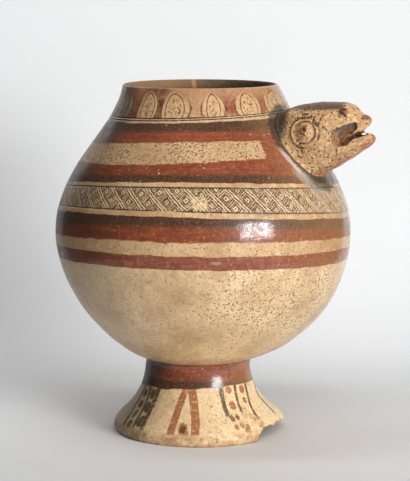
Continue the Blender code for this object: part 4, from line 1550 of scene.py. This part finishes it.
class VASE_OT_stage(bpy.types.Operator):
    """Sets up the paper sweep, the lights and the camera"""

    bl_idname = "vase.stage"
    bl_label = "Stage"

    def execute(self, context):
        settings = context.scene.vase_stage
        middle = (0, (SWEEP_FRONT + SWEEP_BACK) / 2, 0)
        sweep = primitive("plane", "sweep", size=1.0, location=middle)
        sweep.scale = (2 * SWEEP_HALF, SWEEP_BACK - SWEEP_FRONT, 1)
        bpy.ops.object.transform_apply(location=True, rotation=True, scale=True)
        rise = {"value": (0, 0, SWEEP_TOP)}
        edit_back_edge(sweep, "extrude_region_move", TRANSFORM_OT_translate=rise)
        edit_back_edge(sweep, "bevel", offset=SWEEP_BEND, segments=24)
        outward(sweep)
        if sum(face.normal.z * face.area for face in sweep.data.polygons) < 0:
            sweep.data.flip_normals()
        shade(sweep, paper(settings))
        for name, place, size, watts, faces in LIGHTS:
            bpy.ops.object.light_add(type="AREA", location=place)
            light = bpy.context.object
            light.name = light.data.name = name
            light.data.shape = "RECTANGLE"
            light.data.size, light.data.size_y = size
            light.data.energy = watts
            light.visible_glossy = name == "softbox"  # the others leave no highlight
            aim = Vector(faces) - light.location
            light.rotation_euler = aim.to_track_quat("-Z", "Y").to_euler()
        world = bpy.data.worlds.new("studio")
        world.use_nodes = True
        sky = world.node_tree.nodes["Background"]
        sky.inputs["Color"].default_value = (1.0, 1.0, 1.0, 1.0)
        sky.inputs["Strength"].default_value = WORLD_STRENGTH
        context.scene.world = world
        context.scene.view_settings.view_transform = "Standard"
        camera = bpy.data.objects.new("camera", bpy.data.cameras.new("camera"))
        context.scene.collection.objects.link(camera)
        camera.location = CAMERA_PLACE
        camera.rotation_euler = (math.pi / 2 - math.radians(CAMERA_DOWN_DEG), 0, 0)
        camera.data.sensor_fit = "VERTICAL"
        camera.data.sensor_height = 36.0
        camera.data.lens = camera.data.sensor_height * FOCAL_PIXELS / IMAGE_HEIGHT
        context.scene.camera = camera
        return {"FINISHED"}


class VASE_PT_panel(bpy.types.Panel):
    bl_label = "Footed head vase"
    bl_space_type = "VIEW_3D"
    bl_region_type = "UI"
    bl_category = "Vase"

    def draw(self, context):
        for operator in OPERATORS:
            self.layout.operator(operator.bl_idname)


GROUPS = {
    "vase_vessel": VesselSettings,
    "vase_slip": SlipSettings,
    "vase_head": HeadSettings,
    "vase_stage": StageSettings,
}
OPERATORS = (VASE_OT_vessel, VASE_OT_head, VASE_OT_stage)


def register():
    for made in (*GROUPS.values(), *OPERATORS, VASE_PT_panel):
        bpy.utils.register_class(made)
    for name, group in GROUPS.items():
        setattr(bpy.types.Scene, name, bpy.props.PointerProperty(type=group))


def unregister():
    for name in GROUPS:
        delattr(bpy.types.Scene, name)
    for made in (VASE_PT_panel, *OPERATORS, *GROUPS.values()):
        bpy.utils.unregister_class(made)


def main():
    register()
    bpy.ops.vase.vessel()
    bpy.ops.vase.head()
    bpy.ops.vase.stage()


if __name__ == "__main__":
    main()
